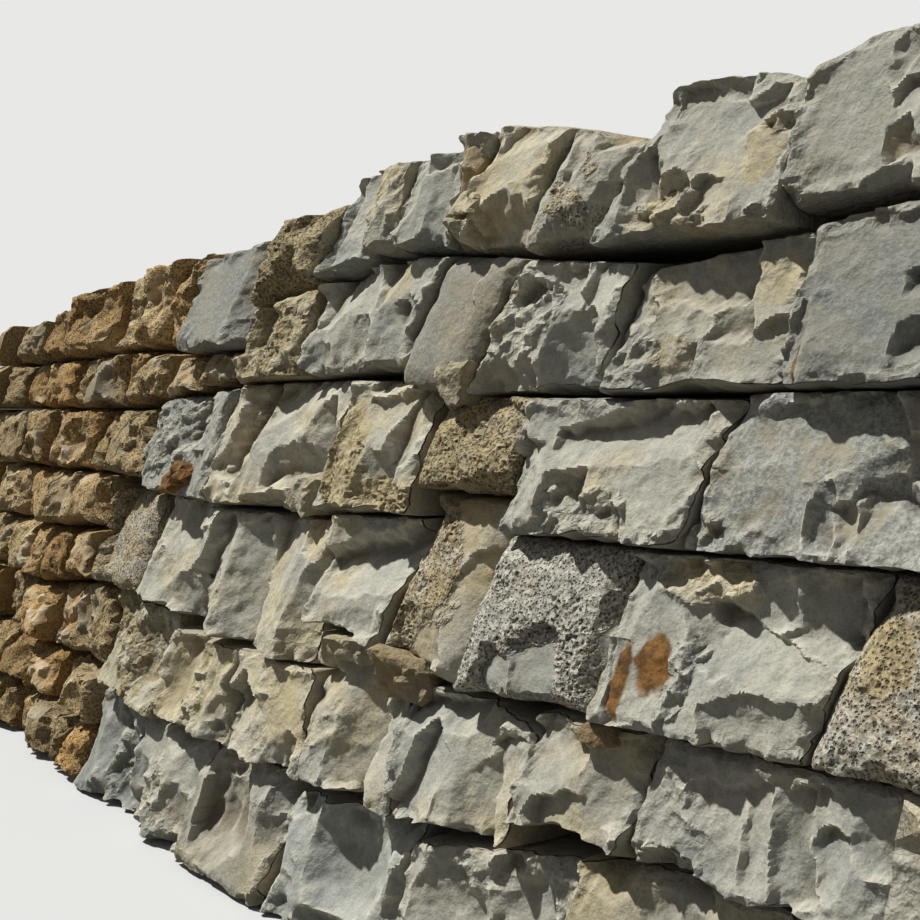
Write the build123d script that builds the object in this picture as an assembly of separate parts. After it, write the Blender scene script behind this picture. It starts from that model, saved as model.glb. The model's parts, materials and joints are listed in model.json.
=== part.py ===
from build123d import *
import os
import random
from itertools import combinations
from math import atan, cos, radians, sin

import numpy as np

# Dry stone terrace wall, in millimetres.
# Distances along the wall are measured along its foot, from the right end, seen from the front.
# The face looks towards -Y, the bank side towards +Y.

# The whole wall
LENGTH = 4450
FOOT_THICKNESS = 825
BATTER = 0.22

# The wall bends back into the bank in a few short flats
BEND_START = 1550
BEND_FLAT = 350
BEND_TURNS = 3
BEND_TURN = 2.4

# Course heights, from the ground up
FOUNDATION_HEIGHT = 250
SECOND_HEIGHT = 240
THIRD_HEIGHT = 255
FOURTH_HEIGHT = 240
FIFTH_HEIGHT = 245
TOP_HEIGHT = 245

# How deep the stones of the face and of the back reach, square to the wall
FACE_STONE_DEPTH = 300
BACK_STONE_DEPTH = 150
HEARTING_SINK = 45
BACK_TOP_DROP = 30

# Stones that run through the whole wall close both ends
RIGHT_THROUGH_LENGTHS = [200, 300, 160, 260, 170, 240]
LEFT_THROUGH_LENGTHS = [250, 180, 270, 190, 260, 200]
LONGEST_THROUGH = 320

# How far inside a stone its bed is read beside a step
STEP_MARGIN = 20

# Stones made by a rule: the small ones on the left, the back and the core
SMALL_LENGTH = 235
BACK_LENGTH = 400
HEARTING_LENGTH = 820
LENGTH_SPREAD = 0.22
SMALL_SLANT = 18
BACK_SLANT = 16

# Two stones touch with this clearance between them
CLEARANCE = 0.3

# A split face leans back a little more than the wall, and falls back to the joints around it
FACE_LEAN = 3.5
FACE_SKEW = 3.0
ARRIS_WIDTH = 34
ARRIS_BACK = 14
SMALL_ARRIS_WIDTH = 28
SMALL_ARRIS_BACK = 16
ARRIS_SPREAD = (0.6, 1.4)
PROUD = 16
PROUD_SPREAD = (-0.2, 1.0)
END_PROUD_SHARE = 0.5

# Big blocks that have lost a corner: how far out the break starts, and how steeply it falls back
BREAK_REACH = 0.66
BREAK_FALL = 1.5
UPPER_LEFT, UPPER_RIGHT, LOWER_RIGHT = (1, 1), (-1, 1), (-1, -1)
BROKEN_CORNERS = {
    "top_2": UPPER_LEFT,
    "fifth_2": UPPER_LEFT,
    "fifth_3": UPPER_LEFT,
    "fourth_1": UPPER_LEFT,
    "fourth_2": UPPER_RIGHT,
    "fourth_4": UPPER_RIGHT,
    "fourth_5": UPPER_LEFT,
    "third_1": UPPER_LEFT,
    "third_2": UPPER_RIGHT,
    "third_3": UPPER_LEFT,
    "third_4": LOWER_RIGHT,
    "second_1": UPPER_LEFT,
    "second_2": UPPER_RIGHT,
    "second_3": UPPER_LEFT,
}

# Places where a course steps, shared by the stones on both sides of the step
CREST_DIP = 605
CREST_STEP = 885
RAISED_STEP = 1600
SLAB_STEP = 2112
SHORT_BLOCK_RIGHT = 1095
SHORT_BLOCK_LEFT = 1330
LOW_TOP_STEP = 1792
SLAB_TOP_RIGHT = 2134
SLAB_TOP_LEFT = 2445

# Bed lines: distance along the wall, and rise above the level of the bed
GROUND_LINE = [(0, 0)]
SECOND_BED = [(0, 52), (715, 60), (950, 18), (1230, 0), (2300, 0), (2700, 22)]
THIRD_BED = [(0, 5), (812, -3), (1125, -12), (1365, 22), (RAISED_STEP, 35), (RAISED_STEP, -40),
             (1900, -38), (2230, -10), (2480, 5), (2870, -3), (3300, -55)]
FOURTH_BED = [(0, 0), (700, -2), (SHORT_BLOCK_RIGHT, -3), (SHORT_BLOCK_RIGHT, 50), (SHORT_BLOCK_LEFT, 58),
              (SHORT_BLOCK_LEFT, 10), (1660, 0), (2110, -8), (2560, 0), (2880, 24)]
FIFTH_BED = [(0, -4), (920, -14), (1345, -8), (1440, 20), (1810, 30), (2095, 24), (2400, 2), (2900, -32)]
TOP_BED = [(0, 20), (320, 10), (600, -24), (995, -14), (1165, -12), (1385, 12), (1545, 20), (1830, -10),
           (SLAB_STEP, -50), (SLAB_STEP, -138), (2450, -142), (2900, -116), (4000, -122)]
TOP_LINE = [(0, -6), (320, 10), (490, 16), (555, -2), (CREST_DIP, -42), (690, -8), (780, 5), (CREST_STEP, -4),
            (CREST_STEP, -48), (960, -30), (1020, -25), (1115, -28), (1200, -5), (1280, 5), (1310, 4),
            (1368, -26), (LOW_TOP_STEP, -22), (LOW_TOP_STEP, -82), (SLAB_TOP_RIGHT, -90),
            (SLAB_TOP_RIGHT, -120), (SLAB_TOP_LEFT, -152), (SLAB_TOP_LEFT, -124), (2820, -120),
            (3500, -150), (3950, -222)]

# Upright joints of the big blocks: distance along the wall at the foot and at the head of the course
FOUNDATION_JOINTS = [(420, 430), (830, 820), (1190, 1200), (1600, 1590), (1950, 1960), (2300, 2290),
                     (2640, 2650)]
SECOND_JOINTS = [(715, 700), (950, 935), (1230, 1300), (1530, RAISED_STEP - 10), (1830, 1900), (2180, 2230),
                 (2610, 2700)]
THIRD_JOINTS = [(440, 372), (812, 785), (1131, SHORT_BLOCK_RIGHT + 7), (1365, SHORT_BLOCK_LEFT - 2),
                (RAISED_STEP + 4, RAISED_STEP), (2055, 2180), (2480, 2495), (2850, 2890)]
FOURTH_JOINTS = [(695, 640), (SHORT_BLOCK_RIGHT - 5, 1070), (SHORT_BLOCK_LEFT + 4, 1345), (1660, 1620),
                 (2110, 2155), (2560, 2690)]
FIFTH_JOINTS = [(560, 550), (920, 885), (1235, 1165), (1440, 1385), (1810, 1830), (2090, SLAB_STEP)]
TOP_JOINTS = [(CREST_DIP, CREST_DIP), (995, CREST_STEP - 4), (1155, 1115), (1310, 1310), (1364, 1368),
              (1520, 1545), (1612, 1690), (1830, LOW_TOP_STEP - 7), (SLAB_STEP + 14, SLAB_STEP + 26),
              (2450, SLAB_TOP_LEFT)]
SLIP_STONE = "top_5"

# Courses whose small stones on the left are laid in two rows
FOUNDATION, SECOND, THIRD, FOURTH, FIFTH, TOP = range(6)
TWO_ROWS = (FOUNDATION, THIRD)

HEIGHTS = [FOUNDATION_HEIGHT, SECOND_HEIGHT, THIRD_HEIGHT, FOURTH_HEIGHT, FIFTH_HEIGHT, TOP_HEIGHT]
LEVELS = [sum(HEIGHTS[:count]) for count in range(len(HEIGHTS) + 1)]
JOINTS = [FOUNDATION_JOINTS, SECOND_JOINTS, THIRD_JOINTS, FOURTH_JOINTS, FIFTH_JOINTS, TOP_JOINTS]
RISES = [GROUND_LINE, SECOND_BED, THIRD_BED, FOURTH_BED, FIFTH_BED, TOP_BED, TOP_LINE]
COURSE_NAMES = ["foundation", "second", "third", "fourth", "fifth", "top"]


# The line of the foot

def wall_flats():
    """Each straight stretch of the foot: start, end, starting point and heading."""
    flats = []
    start, point, heading = 0.0, np.array([0.0, 0.0]), 0.0
    for turn in range(BEND_TURNS + 1):
        end = BEND_START + turn * BEND_FLAT
        if turn == BEND_TURNS:
            end = max(LENGTH, end) + LENGTH
        flats.append((start, end, point, heading))
        point = point + (end - start) * np.array([-cos(heading), sin(heading)])
        start, heading = end, heading + radians(BEND_TURN)
    return flats


FLATS = wall_flats()


def flat_at(distance):
    for flat in FLATS:
        if distance < flat[1]:
            return flat
    return FLATS[-1]


def axes_of(flat):
    """Unit vectors of a flat: towards the left end, and out of the face."""
    heading = flat[3]
    leftward = np.array([-cos(heading), sin(heading), 0.0])
    outward = np.array([-sin(heading), -cos(heading), 0.0])
    return leftward, outward


def place(distance, depth, height):
    """Point at a distance along the foot, a depth behind it and a height above the ground."""
    flat = flat_at(distance)
    leftward, outward = axes_of(flat)
    foot = np.array([flat[2][0], flat[2][1], 0.0]) + leftward * (distance - flat[0])
    return foot - outward * depth + np.array([0.0, 0.0, height])


# Flat sides, each an outward normal and its distance from the origin

def side(point, normal, clearance=0.0):
    unit = np.array(normal, dtype=float)
    unit = unit / np.linalg.norm(unit)
    return unit, float(unit @ point) - clearance


def bed_line(course):
    """Points of a bed, as distance and height."""
    return [(distance, LEVELS[course] + rise) for distance, rise in RISES[course]]


def height_on(line, distance):
    if distance <= line[0][0]:
        return line[0][1]
    for (start, low), (end, high) in zip(line, line[1:]):
        if start <= distance <= end and end > start:
            return low + (high - low) * (distance - start) / (end - start)
    return line[-1][1]


def bed_stretches(line, start, end):
    """The straight stretches of a bed that a stone lies on, each as two points."""
    ends = [(-LENGTH, line[0][1])] + line + [(3 * LENGTH, line[-1][1])]
    for first, last in zip(ends, ends[1:]):
        if last[0] - first[0] > 0 and min(end, last[0]) - max(start, first[0]) > 0.5:
            yield first, last


def bed_sides(line, joints, levels, upward):
    """Sides that a stone shares with a bed over its length; upward is True for the bed on top of it."""
    start = distance_on(line, joints[0], levels, upward, inward=1)
    end = distance_on(line, joints[1], levels, upward, inward=-1)
    for (first, low), (last, high) in bed_stretches(line, start, end):
        slope = (high - low) / (last - first)
        middle = (first + last) / 2
        leftward, outward = axes_of(flat_at(middle))
        along = leftward + np.array([0.0, 0.0, slope])
        normal = np.cross(along, outward)
        if (normal[2] > 0) != upward:
            normal = -normal
        yield side(place(middle, 0, (low + high) / 2), normal, CLEARANCE / 2 if line is not GROUND else 0.0)


def distance_on(line, joint, levels, upward, inward):
    """Where an upright joint meets a bed, read a little inside the stone, as a bed may step at a joint."""
    foot, head = joint
    nearby = (head if upward else foot) + inward * STEP_MARGIN
    share = (height_on(line, nearby) - levels[0]) / (levels[1] - levels[0])
    return foot + (head - foot) * share


def joint_side(joint, low, high, leftward_side):
    """The upright joint through a stone's end; a joint is its distance at the foot and head of the course."""
    foot, head = joint
    flat = flat_at((foot + head) / 2)
    leftward, outward = axes_of(flat)
    along = leftward * (head - foot) + np.array([0.0, 0.0, high - low])
    normal = np.cross(outward, along)
    if (normal @ leftward > 0) != leftward_side:
        normal = -normal
    return side(place(foot, 0, low), normal, CLEARANCE / 2)


def depth_sides(start, end, depth_at_foot, lean, facing_back):
    """Sides at a depth behind the face, one for each flat that a stone crosses."""
    spread = depth_at_foot * sin(radians(BEND_TURN))
    for flat in FLATS:
        if min(end + spread, flat[1]) - max(start - spread, flat[0]) <= 0:
            continue
        leftward, outward = axes_of(flat)
        foot = np.array([flat[2][0], flat[2][1], 0.0]) - outward * depth_at_foot
        normal = outward + np.array([0.0, 0.0, lean])
        yield side(foot, -normal if facing_back else normal, CLEARANCE / 2)


# Solids: how near to parallel three sides may be, how far out a corner may lie, and the least facet, in mm2
PARALLEL = 1e-5
TOUCHING = 1e-6
CRUMB = 150.0


def corners_of(sides):
    """Corners where three sides meet inside all the others, with the numbers of those sides."""
    normals = np.array([normal for normal, reach in sides])
    reaches = np.array([reach for normal, reach in sides])
    trios = np.array(list(combinations(range(len(sides)), 3)))
    crossing = np.abs(np.linalg.det(normals[trios])) > PARALLEL
    trios = trios[crossing]
    points = np.linalg.solve(normals[trios], reaches[trios][..., None])[..., 0]
    inside = (points @ normals.T <= reaches + TOUCHING).all(axis=1)
    return points[inside], trios[inside]


def rim_of(points, normal):
    """The corners of one side in order around it."""
    centre = points.mean(axis=0)
    across = points[0] - centre
    up = np.cross(normal, across)
    angles = np.arctan2((points - centre) @ up, (points - centre) @ across)
    return points[np.argsort(angles)]


def area_of(rim):
    spokes = rim - rim[0]
    return 0.5 * np.linalg.norm(np.cross(spokes[1:-1], spokes[2:]).sum(axis=0))


def distinct(sides):
    """The sides without repeats, as where two stretches of a bed run on in line."""
    kept = []
    for normal, reach in sides:
        parallel = [distance for other, distance in kept if normal @ other > 1 - TOUCHING]
        if not any(abs(reach - distance) < CLEARANCE for distance in parallel):
            kept.append((normal, reach))
    return kept


def stone(sides, spare=()):
    """Convex stone inside its sides; a spare facet that would only take a crumb is left off."""
    sides = distinct(sides)
    kept = list(spare)
    while True:
        every = list(sides) + kept
        points, trios = corners_of(every)
        rims = {}
        for number, (normal, reach) in enumerate(every):
            own = points[(trios == number).any(axis=1)]
            if len(own) >= 3:
                rims[number] = rim_of(own, normal)
        small = [number for number in range(len(sides), len(every))
                 if number in rims and area_of(rims[number]) < CRUMB]
        if not small:
            break
        kept.pop(small[0] - len(sides))
    outlines = [Wire.make_polygon([Vector(*corner) for corner in rim], close=True) for rim in rims.values()]
    return Solid(Shell([Face(outline) for outline in outlines]))


# Split faces

def face_frame(distance, height, proud):
    """Middle of a face, and its unit vectors to the left, up the batter and outward."""
    leftward, outward = axes_of(flat_at(distance))
    lean = atan(BATTER) + radians(FACE_LEAN)
    out = outward * cos(lean) + np.array([0.0, 0.0, sin(lean)])
    up = np.cross(out, leftward)
    if up[2] < 0:
        up = -up
    return place(distance, BATTER * height, height) + out * proud, leftward, up, out


def upright_frame(distance, depth, height, direction, proud):
    """The same for an upright face that looks along direction."""
    up = np.array([0.0, 0.0, 1.0])
    across = np.cross(up, direction)
    return place(distance, depth, height) + direction * proud, across, up, direction


def split_face(chance, frame, half_length, half_height, width, back):
    """Main plane of a split face, and the facets that fall back to its joints: left, right, top and foot."""
    middle, across, up, out = frame
    skew = radians(FACE_SKEW)
    tilt = across * chance.uniform(-skew, skew) + up * chance.uniform(-skew, skew)
    main = side(middle, out + tilt)
    facets = []
    for edge, half in ((across, half_length), (-across, half_length), (up, half_height), (-up, half_height)):
        inset = width * chance.uniform(*ARRIS_SPREAD)
        fall = back * chance.uniform(*ARRIS_SPREAD)
        facets.append(side(middle + edge * (half - inset), out * inset + edge * fall))
    return main, facets


def broken_corner(frame, half_length, half_height, corner):
    """A facet that takes one corner off a big face."""
    middle, across, up, out = frame
    toward = across * half_length * corner[0] + up * half_height * corner[1]
    reach = np.linalg.norm(toward)
    fall = ARRIS_BACK * 2 * BREAK_FALL
    return side(middle + toward * BREAK_REACH, out * reach * (1 - BREAK_REACH) + toward / reach * fall)


class FaceStone:
    """One stone of the face."""

    def __init__(self, name, below, above, right, left, levels, small):
        self.name = name
        chance = random.Random(name)
        low, high = levels
        half_length = (left[0] + left[1] - right[0] - right[1]) / 4
        middle = (left[0] + left[1] + right[0] + right[1]) / 4
        foot = height_on(below, middle)
        head = height_on(above, middle)
        proud = chance.uniform(*PROUD_SPREAD) * PROUD
        frame = face_frame(middle, (foot + head) / 2, proud)
        width = SMALL_ARRIS_WIDTH if small else ARRIS_WIDTH
        back = SMALL_ARRIS_BACK if small else ARRIS_BACK
        main, facets = split_face(chance, frame, half_length, (head - foot) / 2, width, back)
        if name in BROKEN_CORNERS:
            facets.append(broken_corner(frame, half_length, (head - foot) / 2, BROKEN_CORNERS[name]))
        sides = [main]
        sides += bed_sides(below, (right, left), levels, upward=False)
        sides += bed_sides(above, (right, left), levels, upward=True)
        sides.append(joint_side(right, low, high, leftward_side=False))
        sides.append(joint_side(left, low, high, leftward_side=True))
        sides += depth_sides(min(right), max(left), FACE_STONE_DEPTH, BATTER, facing_back=True)
        self.solid = stone(sides, facets)


# Lines between the rows

BEDS = [bed_line(course) for course in range(len(RISES))]
GROUND = BEDS[0]


def back_line(course):
    """Bed of the back and the core: straight from one end stone to the other."""
    line = BEDS[course]
    near, far = LONGEST_THROUGH, LENGTH - LONGEST_THROUGH
    drop = BACK_TOP_DROP if course == TOP + 1 else 0
    points = [(0, height_on(line, 0)), (near, height_on(line, near)), (far, height_on(line, far))]
    return [(distance, height - drop) for distance, height in points]


BACK_BEDS = [GROUND] + [back_line(course) for course in range(1, len(RISES))]


def middle_line(course):
    """Bed between the two rows of a course of small stones."""
    low, high = BEDS[course], BEDS[course + 1]
    last_joint = JOINTS[course][-1][0]
    places = sorted({distance for distance, height in low + high if distance > last_joint}) or [0]
    return [(distance, (height_on(low, distance) + height_on(high, distance)) / 2) for distance in places]


def uneven_joints(chance, start, end, spacing, widest_slant):
    """Upright joints at uneven distances between two others."""
    count = max(1, round((end - start) / spacing))
    pitch = (end - start) / count
    joints = []
    for number in range(1, count):
        distance = start + pitch * (number + chance.uniform(-LENGTH_SPREAD, LENGTH_SPREAD))
        slant = chance.uniform(-widest_slant, widest_slant)
        joints.append((distance - slant, distance + slant))
    return joints


# Sub-parts

def right_through(course):
    distance = RIGHT_THROUGH_LENGTHS[course]
    return distance, distance


def left_through(course):
    distance = LENGTH - LEFT_THROUGH_LENGTHS[course]
    return distance, distance


def big_stones(course):
    """The big blocks of one course, from the right end to the last listed joint."""
    joints = [right_through(course)] + JOINTS[course]
    levels = (LEVELS[course], LEVELS[course + 1])
    stones = []
    for number, (right, left) in enumerate(zip(joints, joints[1:]), start=1):
        name = f"{COURSE_NAMES[course]}_{number}"
        stones.append(FaceStone(name, BEDS[course], BEDS[course + 1], right, left, levels, small=False))
    return stones


def small_row(name, course, below, above, levels):
    """One row of the small stones on the left."""
    chance = random.Random(name)
    first, last = JOINTS[course][-1], left_through(course)
    if levels[0] > LEVELS[course]:
        first = (sum(first) / 2, first[1])
    elif levels[1] < LEVELS[course + 1]:
        first = (first[0], sum(first) / 2)
    joints = uneven_joints(chance, max(first), last[0], SMALL_LENGTH, SMALL_SLANT)
    ends = [first] + joints + [last]
    return [FaceStone(f"{name}_{number}", below, above, right, left, levels, small=True)
            for number, (right, left) in enumerate(zip(ends, ends[1:]))]


def small_stones(course):
    """The small stones of one course, in one or two rows."""
    low, high = LEVELS[course], LEVELS[course + 1]
    name = COURSE_NAMES[course]
    if course not in TWO_ROWS:
        return small_row(f"{name}_small", course, BEDS[course], BEDS[course + 1], (low, high))
    split = middle_line(course)
    half = (low + high) / 2
    lower = small_row(f"{name}_small_lower", course, BEDS[course], split, (low, half))
    upper = small_row(f"{name}_small_upper", course, split, BEDS[course + 1], (half, high))
    return lower + upper


def back_stones(course):
    """The stones of the back in one course."""
    chance = random.Random(f"back_{course}")
    right, left = right_through(course), left_through(course)
    levels = (LEVELS[course], LEVELS[course + 1])
    ends = [right] + uneven_joints(chance, right[0], left[0], BACK_LENGTH, BACK_SLANT) + [left]
    stones = []
    for first, last in zip(ends, ends[1:]):
        middle = (sum(first) + sum(last)) / 4
        foot = height_on(BACK_BEDS[course], middle)
        head = height_on(BACK_BEDS[course + 1], middle)
        outward = axes_of(flat_at(middle))[1]
        frame = upright_frame(middle, FOOT_THICKNESS, (foot + head) / 2, -outward, -chance.uniform(0, PROUD))
        half_length = (sum(last) - sum(first)) / 4
        arris = SMALL_ARRIS_WIDTH, SMALL_ARRIS_BACK
        main, facets = split_face(chance, frame, half_length, (head - foot) / 2, *arris)
        sides = [main]
        sides += bed_sides(BACK_BEDS[course], (first, last), levels, upward=False)
        sides += bed_sides(BACK_BEDS[course + 1], (first, last), levels, upward=True)
        sides.append(joint_side(first, *levels, leftward_side=False))
        sides.append(joint_side(last, *levels, leftward_side=True))
        sides += depth_sides(min(first), max(last), FOOT_THICKNESS - BACK_STONE_DEPTH, 0.0, facing_back=False)
        stones.append(stone(sides, facets))
    return stones


def hearting(course):
    """The packed core of one course, between the tails of the face and of the back."""
    chance = random.Random(f"hearting_{course}")
    right, left = right_through(course), left_through(course)
    levels = (LEVELS[course], LEVELS[course + 1])
    above = BACK_BEDS[course + 1]
    if course == TOP:
        above = [(distance, height - HEARTING_SINK) for distance, height in above]
    ends = [right] + uneven_joints(chance, right[0], left[0], HEARTING_LENGTH, 0) + [left]
    blocks = []
    for first, last in zip(ends, ends[1:]):
        sides = list(bed_sides(BACK_BEDS[course], (first, last), levels, upward=False))
        sides += bed_sides(above, (first, last), levels, upward=True)
        sides.append(joint_side(first, *levels, leftward_side=False))
        sides.append(joint_side(last, *levels, leftward_side=True))
        sides += depth_sides(first[0], last[0], FACE_STONE_DEPTH, BATTER, facing_back=False)
        sides += depth_sides(first[0], last[0], FOOT_THICKNESS - BACK_STONE_DEPTH, 0.0, facing_back=True)
        blocks.append(stone(sides))
    return blocks


def through_stone(name, start, end, below, above, levels, end_face):
    """A stone that runs through the whole wall at one end; end_face is -1 on the right and 1 on the left."""
    chance = random.Random(name)
    middle = (start + end) / 2
    foot, head = height_on(below, middle), height_on(above, middle)
    height = (foot + head) / 2
    leftward, outward = axes_of(flat_at(middle))
    thickness = FOOT_THICKNESS - BATTER * height
    arris = SMALL_ARRIS_WIDTH, SMALL_ARRIS_BACK
    half_length, half_height = (end - start) / 2, (head - foot) / 2
    front_frame = face_frame(middle, height, END_PROUD_SHARE * PROUD)
    front, front_facets = split_face(chance, front_frame, half_length, half_height, *arris)
    rear_frame = upright_frame(middle, FOOT_THICKNESS, height, -outward, 0.0)
    rear, rear_facets = split_face(chance, rear_frame, half_length, half_height, *arris)
    outer = end if end_face > 0 else start
    inner = start if end_face > 0 else end
    end_frame = upright_frame(outer, FOOT_THICKNESS - thickness / 2, height, leftward * end_face, 0.0)
    closing, end_facets = split_face(chance, end_frame, thickness / 2, half_height, *arris)
    sides = [front, rear, closing, joint_side((inner, inner), *levels, leftward_side=end_face < 0)]
    sides += bed_sides(below, ((start, start), (end, end)), levels, upward=False)
    sides += bed_sides(above, ((start, start), (end, end)), levels, upward=True)
    return stone(sides, front_facets + rear_facets + end_facets)


def right_end():
    stones = []
    for course, length in enumerate(RIGHT_THROUGH_LENGTHS):
        levels = (LEVELS[course], LEVELS[course + 1])
        below, above = BEDS[course], BEDS[course + 1]
        stones.append(through_stone(f"right_{course}", 0, length, below, above, levels, end_face=-1))
    return stones


def left_end():
    stones = []
    for course, length in enumerate(LEFT_THROUGH_LENGTHS):
        levels = (LEVELS[course], LEVELS[course + 1])
        start = LENGTH - length
        rows = [(BEDS[course], BEDS[course + 1])]
        if course in TWO_ROWS:
            split = middle_line(course)
            rows = [(BEDS[course], split), (split, BEDS[course + 1])]
        for row, (below, above) in enumerate(rows):
            name = f"left_{course}_{row}"
            stones.append(through_stone(name, start, LENGTH, below, above, levels, end_face=1))
    return stones


def build():
    """Every node, by name, as its list of solids."""
    faces = [big_stones(course) for course in range(len(COURSE_NAMES))]
    nodes = {}
    for course in (TOP, FIFTH, FOURTH, THIRD):
        blocks = [block for block in faces[course] if block.name != SLIP_STONE]
        for number, block in enumerate(blocks, start=1):
            nodes[f"{COURSE_NAMES[course]}_course_stone_{number}"] = [block.solid]
    nodes["pinning_stones"] = [block.solid for block in faces[TOP] if block.name == SLIP_STONE]
    nodes["second_course_stones"] = [block.solid for block in faces[SECOND]]
    nodes["foundation_stones"] = [block.solid for block in faces[FOUNDATION]]
    for course, name in enumerate(COURSE_NAMES):
        nodes[f"{name}_course_small_stones"] = [small.solid for small in small_stones(course)]
    nodes["back_lower_courses"] = back_stones(FOUNDATION) + back_stones(SECOND)
    nodes["back_middle_courses"] = back_stones(THIRD) + back_stones(FOURTH)
    nodes["back_upper_courses"] = back_stones(FIFTH) + back_stones(TOP)
    nodes["hearting"] = [block for course in range(len(COURSE_NAMES)) for block in hearting(course)]
    nodes["right_end_through_stones"] = right_end()
    nodes["left_end_through_stones"] = left_end()
    return nodes


def main():
    os.makedirs("parts", exist_ok=True)
    nodes = build()
    boxes = [solid.bounding_box() for solids in nodes.values() for solid in solids]
    middle_x = (min(box.min.X for box in boxes) + max(box.max.X for box in boxes)) / 2
    middle_y = (min(box.min.Y for box in boxes) + max(box.max.Y for box in boxes)) / 2
    home = Location((-middle_x, -middle_y, 0))
    for name, solids in nodes.items():
        moved = [solid.moved(home) for solid in solids]
        export_step(moved[0] if len(moved) == 1 else Compound(children=moved), f"parts/{name}.step")


main()
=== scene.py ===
import json
import math
import random

import bmesh
import bpy
import numpy as np
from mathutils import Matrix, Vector


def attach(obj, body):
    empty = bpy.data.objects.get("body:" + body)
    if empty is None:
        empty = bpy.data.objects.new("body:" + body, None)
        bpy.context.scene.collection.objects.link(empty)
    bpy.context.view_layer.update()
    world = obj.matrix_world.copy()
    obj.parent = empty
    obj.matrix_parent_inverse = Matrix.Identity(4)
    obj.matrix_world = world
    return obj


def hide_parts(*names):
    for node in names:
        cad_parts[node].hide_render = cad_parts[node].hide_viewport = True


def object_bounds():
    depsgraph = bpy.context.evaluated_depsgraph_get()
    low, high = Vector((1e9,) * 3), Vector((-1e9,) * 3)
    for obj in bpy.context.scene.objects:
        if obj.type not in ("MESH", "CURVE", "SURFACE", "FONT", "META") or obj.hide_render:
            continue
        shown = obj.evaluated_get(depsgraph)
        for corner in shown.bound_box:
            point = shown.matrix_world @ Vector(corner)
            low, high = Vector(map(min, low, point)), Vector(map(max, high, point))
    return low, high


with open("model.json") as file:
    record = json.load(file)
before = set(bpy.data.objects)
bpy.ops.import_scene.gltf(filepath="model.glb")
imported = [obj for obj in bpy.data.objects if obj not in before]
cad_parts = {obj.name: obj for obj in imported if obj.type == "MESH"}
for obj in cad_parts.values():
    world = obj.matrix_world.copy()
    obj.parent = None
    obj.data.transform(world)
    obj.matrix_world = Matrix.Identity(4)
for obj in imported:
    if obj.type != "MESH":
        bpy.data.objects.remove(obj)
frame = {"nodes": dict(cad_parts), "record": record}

CAD_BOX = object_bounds()

# The line of the wall's foot: its right end, then a straight stretch and short flats that bend back
RIGHT_END = CAD_BOX[1].x - 0.0169
FOOT_LINE = CAD_BOX[0].y + 0.0165
BEND_START = 1.55
BEND_FLAT = 0.35
BEND_TURNS = 3
BEND_TURN = math.radians(2.4)

# The photograph's camera, measured from the foot of the right end
PHOTO_SIZE = 920
FOCAL_PIXELS = 1350
HORIZON_PIXEL = 410
SENSOR = 36.0
EYE = np.array([RIGHT_END + 0.586, FOOT_LINE - 1.299, 0.95])
LOOK = np.array([-0.7685, 0.6398, 0.0])
PITCH = math.atan((PHOTO_SIZE / 2 - HORIZON_PIXEL) / FOCAL_PIXELS)
PHOTO_RIGHT = np.array([LOOK[1], -LOOK[0], 0.0])
PHOTO_FORWARD = LOOK * math.cos(PITCH) + np.array([0.0, 0.0, -math.sin(PITCH)])
PHOTO_UP = np.cross(PHOTO_RIGHT, PHOTO_FORWARD)

# Which way a split face of the wall looks, along its own axes: out, and up by its lean
FACE_LEAN = math.radians(15.9)
FACE_OUT = np.array([0.0, math.sin(FACE_LEAN), math.cos(FACE_LEAN)])

COARSER = 1.0


# Noise: one fixed hash, so that each run gives the same stones

PRIMES = (374761393, 668265263, 1442695041)
SCRAMBLES = ((13, 1274126177), (16, 668265263))


def lattice(cells, seed):
    """A number from -1 to 1 for each whole-number cell."""
    mixed = np.full(len(cells), (seed * 974711 + 12345) & 0x7FFFFFFF, dtype=np.int64)
    for axis in range(cells.shape[1]):
        mixed = mixed + cells[:, axis].astype(np.int64) * PRIMES[axis]
    for shift, factor in SCRAMBLES:
        mixed = (mixed ^ (mixed >> shift)) * factor
    return ((mixed >> 8) & 0xFFFFFF) / float(0x7FFFFF) - 1.0


def noise(points, size, seed):
    """Smooth noise from -1 to 1, with features of the given size."""
    scaled = points / size
    cell = np.floor(scaled)
    part = scaled - cell
    part = part * part * (3 - 2 * part)
    total = np.zeros(len(points))
    dimensions = points.shape[1]
    for corner in np.ndindex(*(2,) * dimensions):
        share = np.ones(len(points))
        for axis in range(dimensions):
            share = share * (part[:, axis] if corner[axis] else 1 - part[:, axis])
        total += share * lattice(cell + np.array(corner), seed)
    return total


def layered(points, size, seed):
    """Noise with two finer layers added, from about -1 to 1."""
    total = np.zeros(len(points))
    for layer, finer in enumerate((1, 2, 4)):
        total += noise(points, size / finer, seed + 17 * layer) / finer
    return total / (1 + 1 / 2 + 1 / 4)


def nearby(points, size, seed, stray):
    """The nine cells round each point, one by one, and the way to the point from their strayed middles."""
    scaled = points / size
    cell = np.floor(scaled)
    for step in np.ndindex(3, 3):
        other = cell + np.array(step) - 1
        apart = scaled - other - 0.5
        apart[:, 0] -= stray * lattice(other, seed)
        apart[:, 1] -= stray * lattice(other, seed + 1)
        yield other, apart


# Flakes: how far their middles stray from an even grid, how much their depths differ, how far they tilt
FLAKE_STRAY = 0.42
FLAKE_DEPTH = 0.75
FLAKE_TILT = 0.9
PIT_STRAY = 0.45


def struck(points, size, seed, sharp=1.3):
    """Depth of flakes struck off side by side, from about -1 to 1."""
    deepest = np.full(len(points), -9.0)
    for cell, apart in nearby(points, size, seed, FLAKE_STRAY):
        depth = FLAKE_DEPTH * lattice(cell, seed + 2) - sharp * (apart ** 2).sum(axis=1)
        depth += FLAKE_TILT * (lattice(cell, seed + 3) * apart[:, 0] + lattice(cell, seed + 4) * apart[:, 1])
        deepest = np.maximum(deepest, depth)
    return deepest


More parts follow.
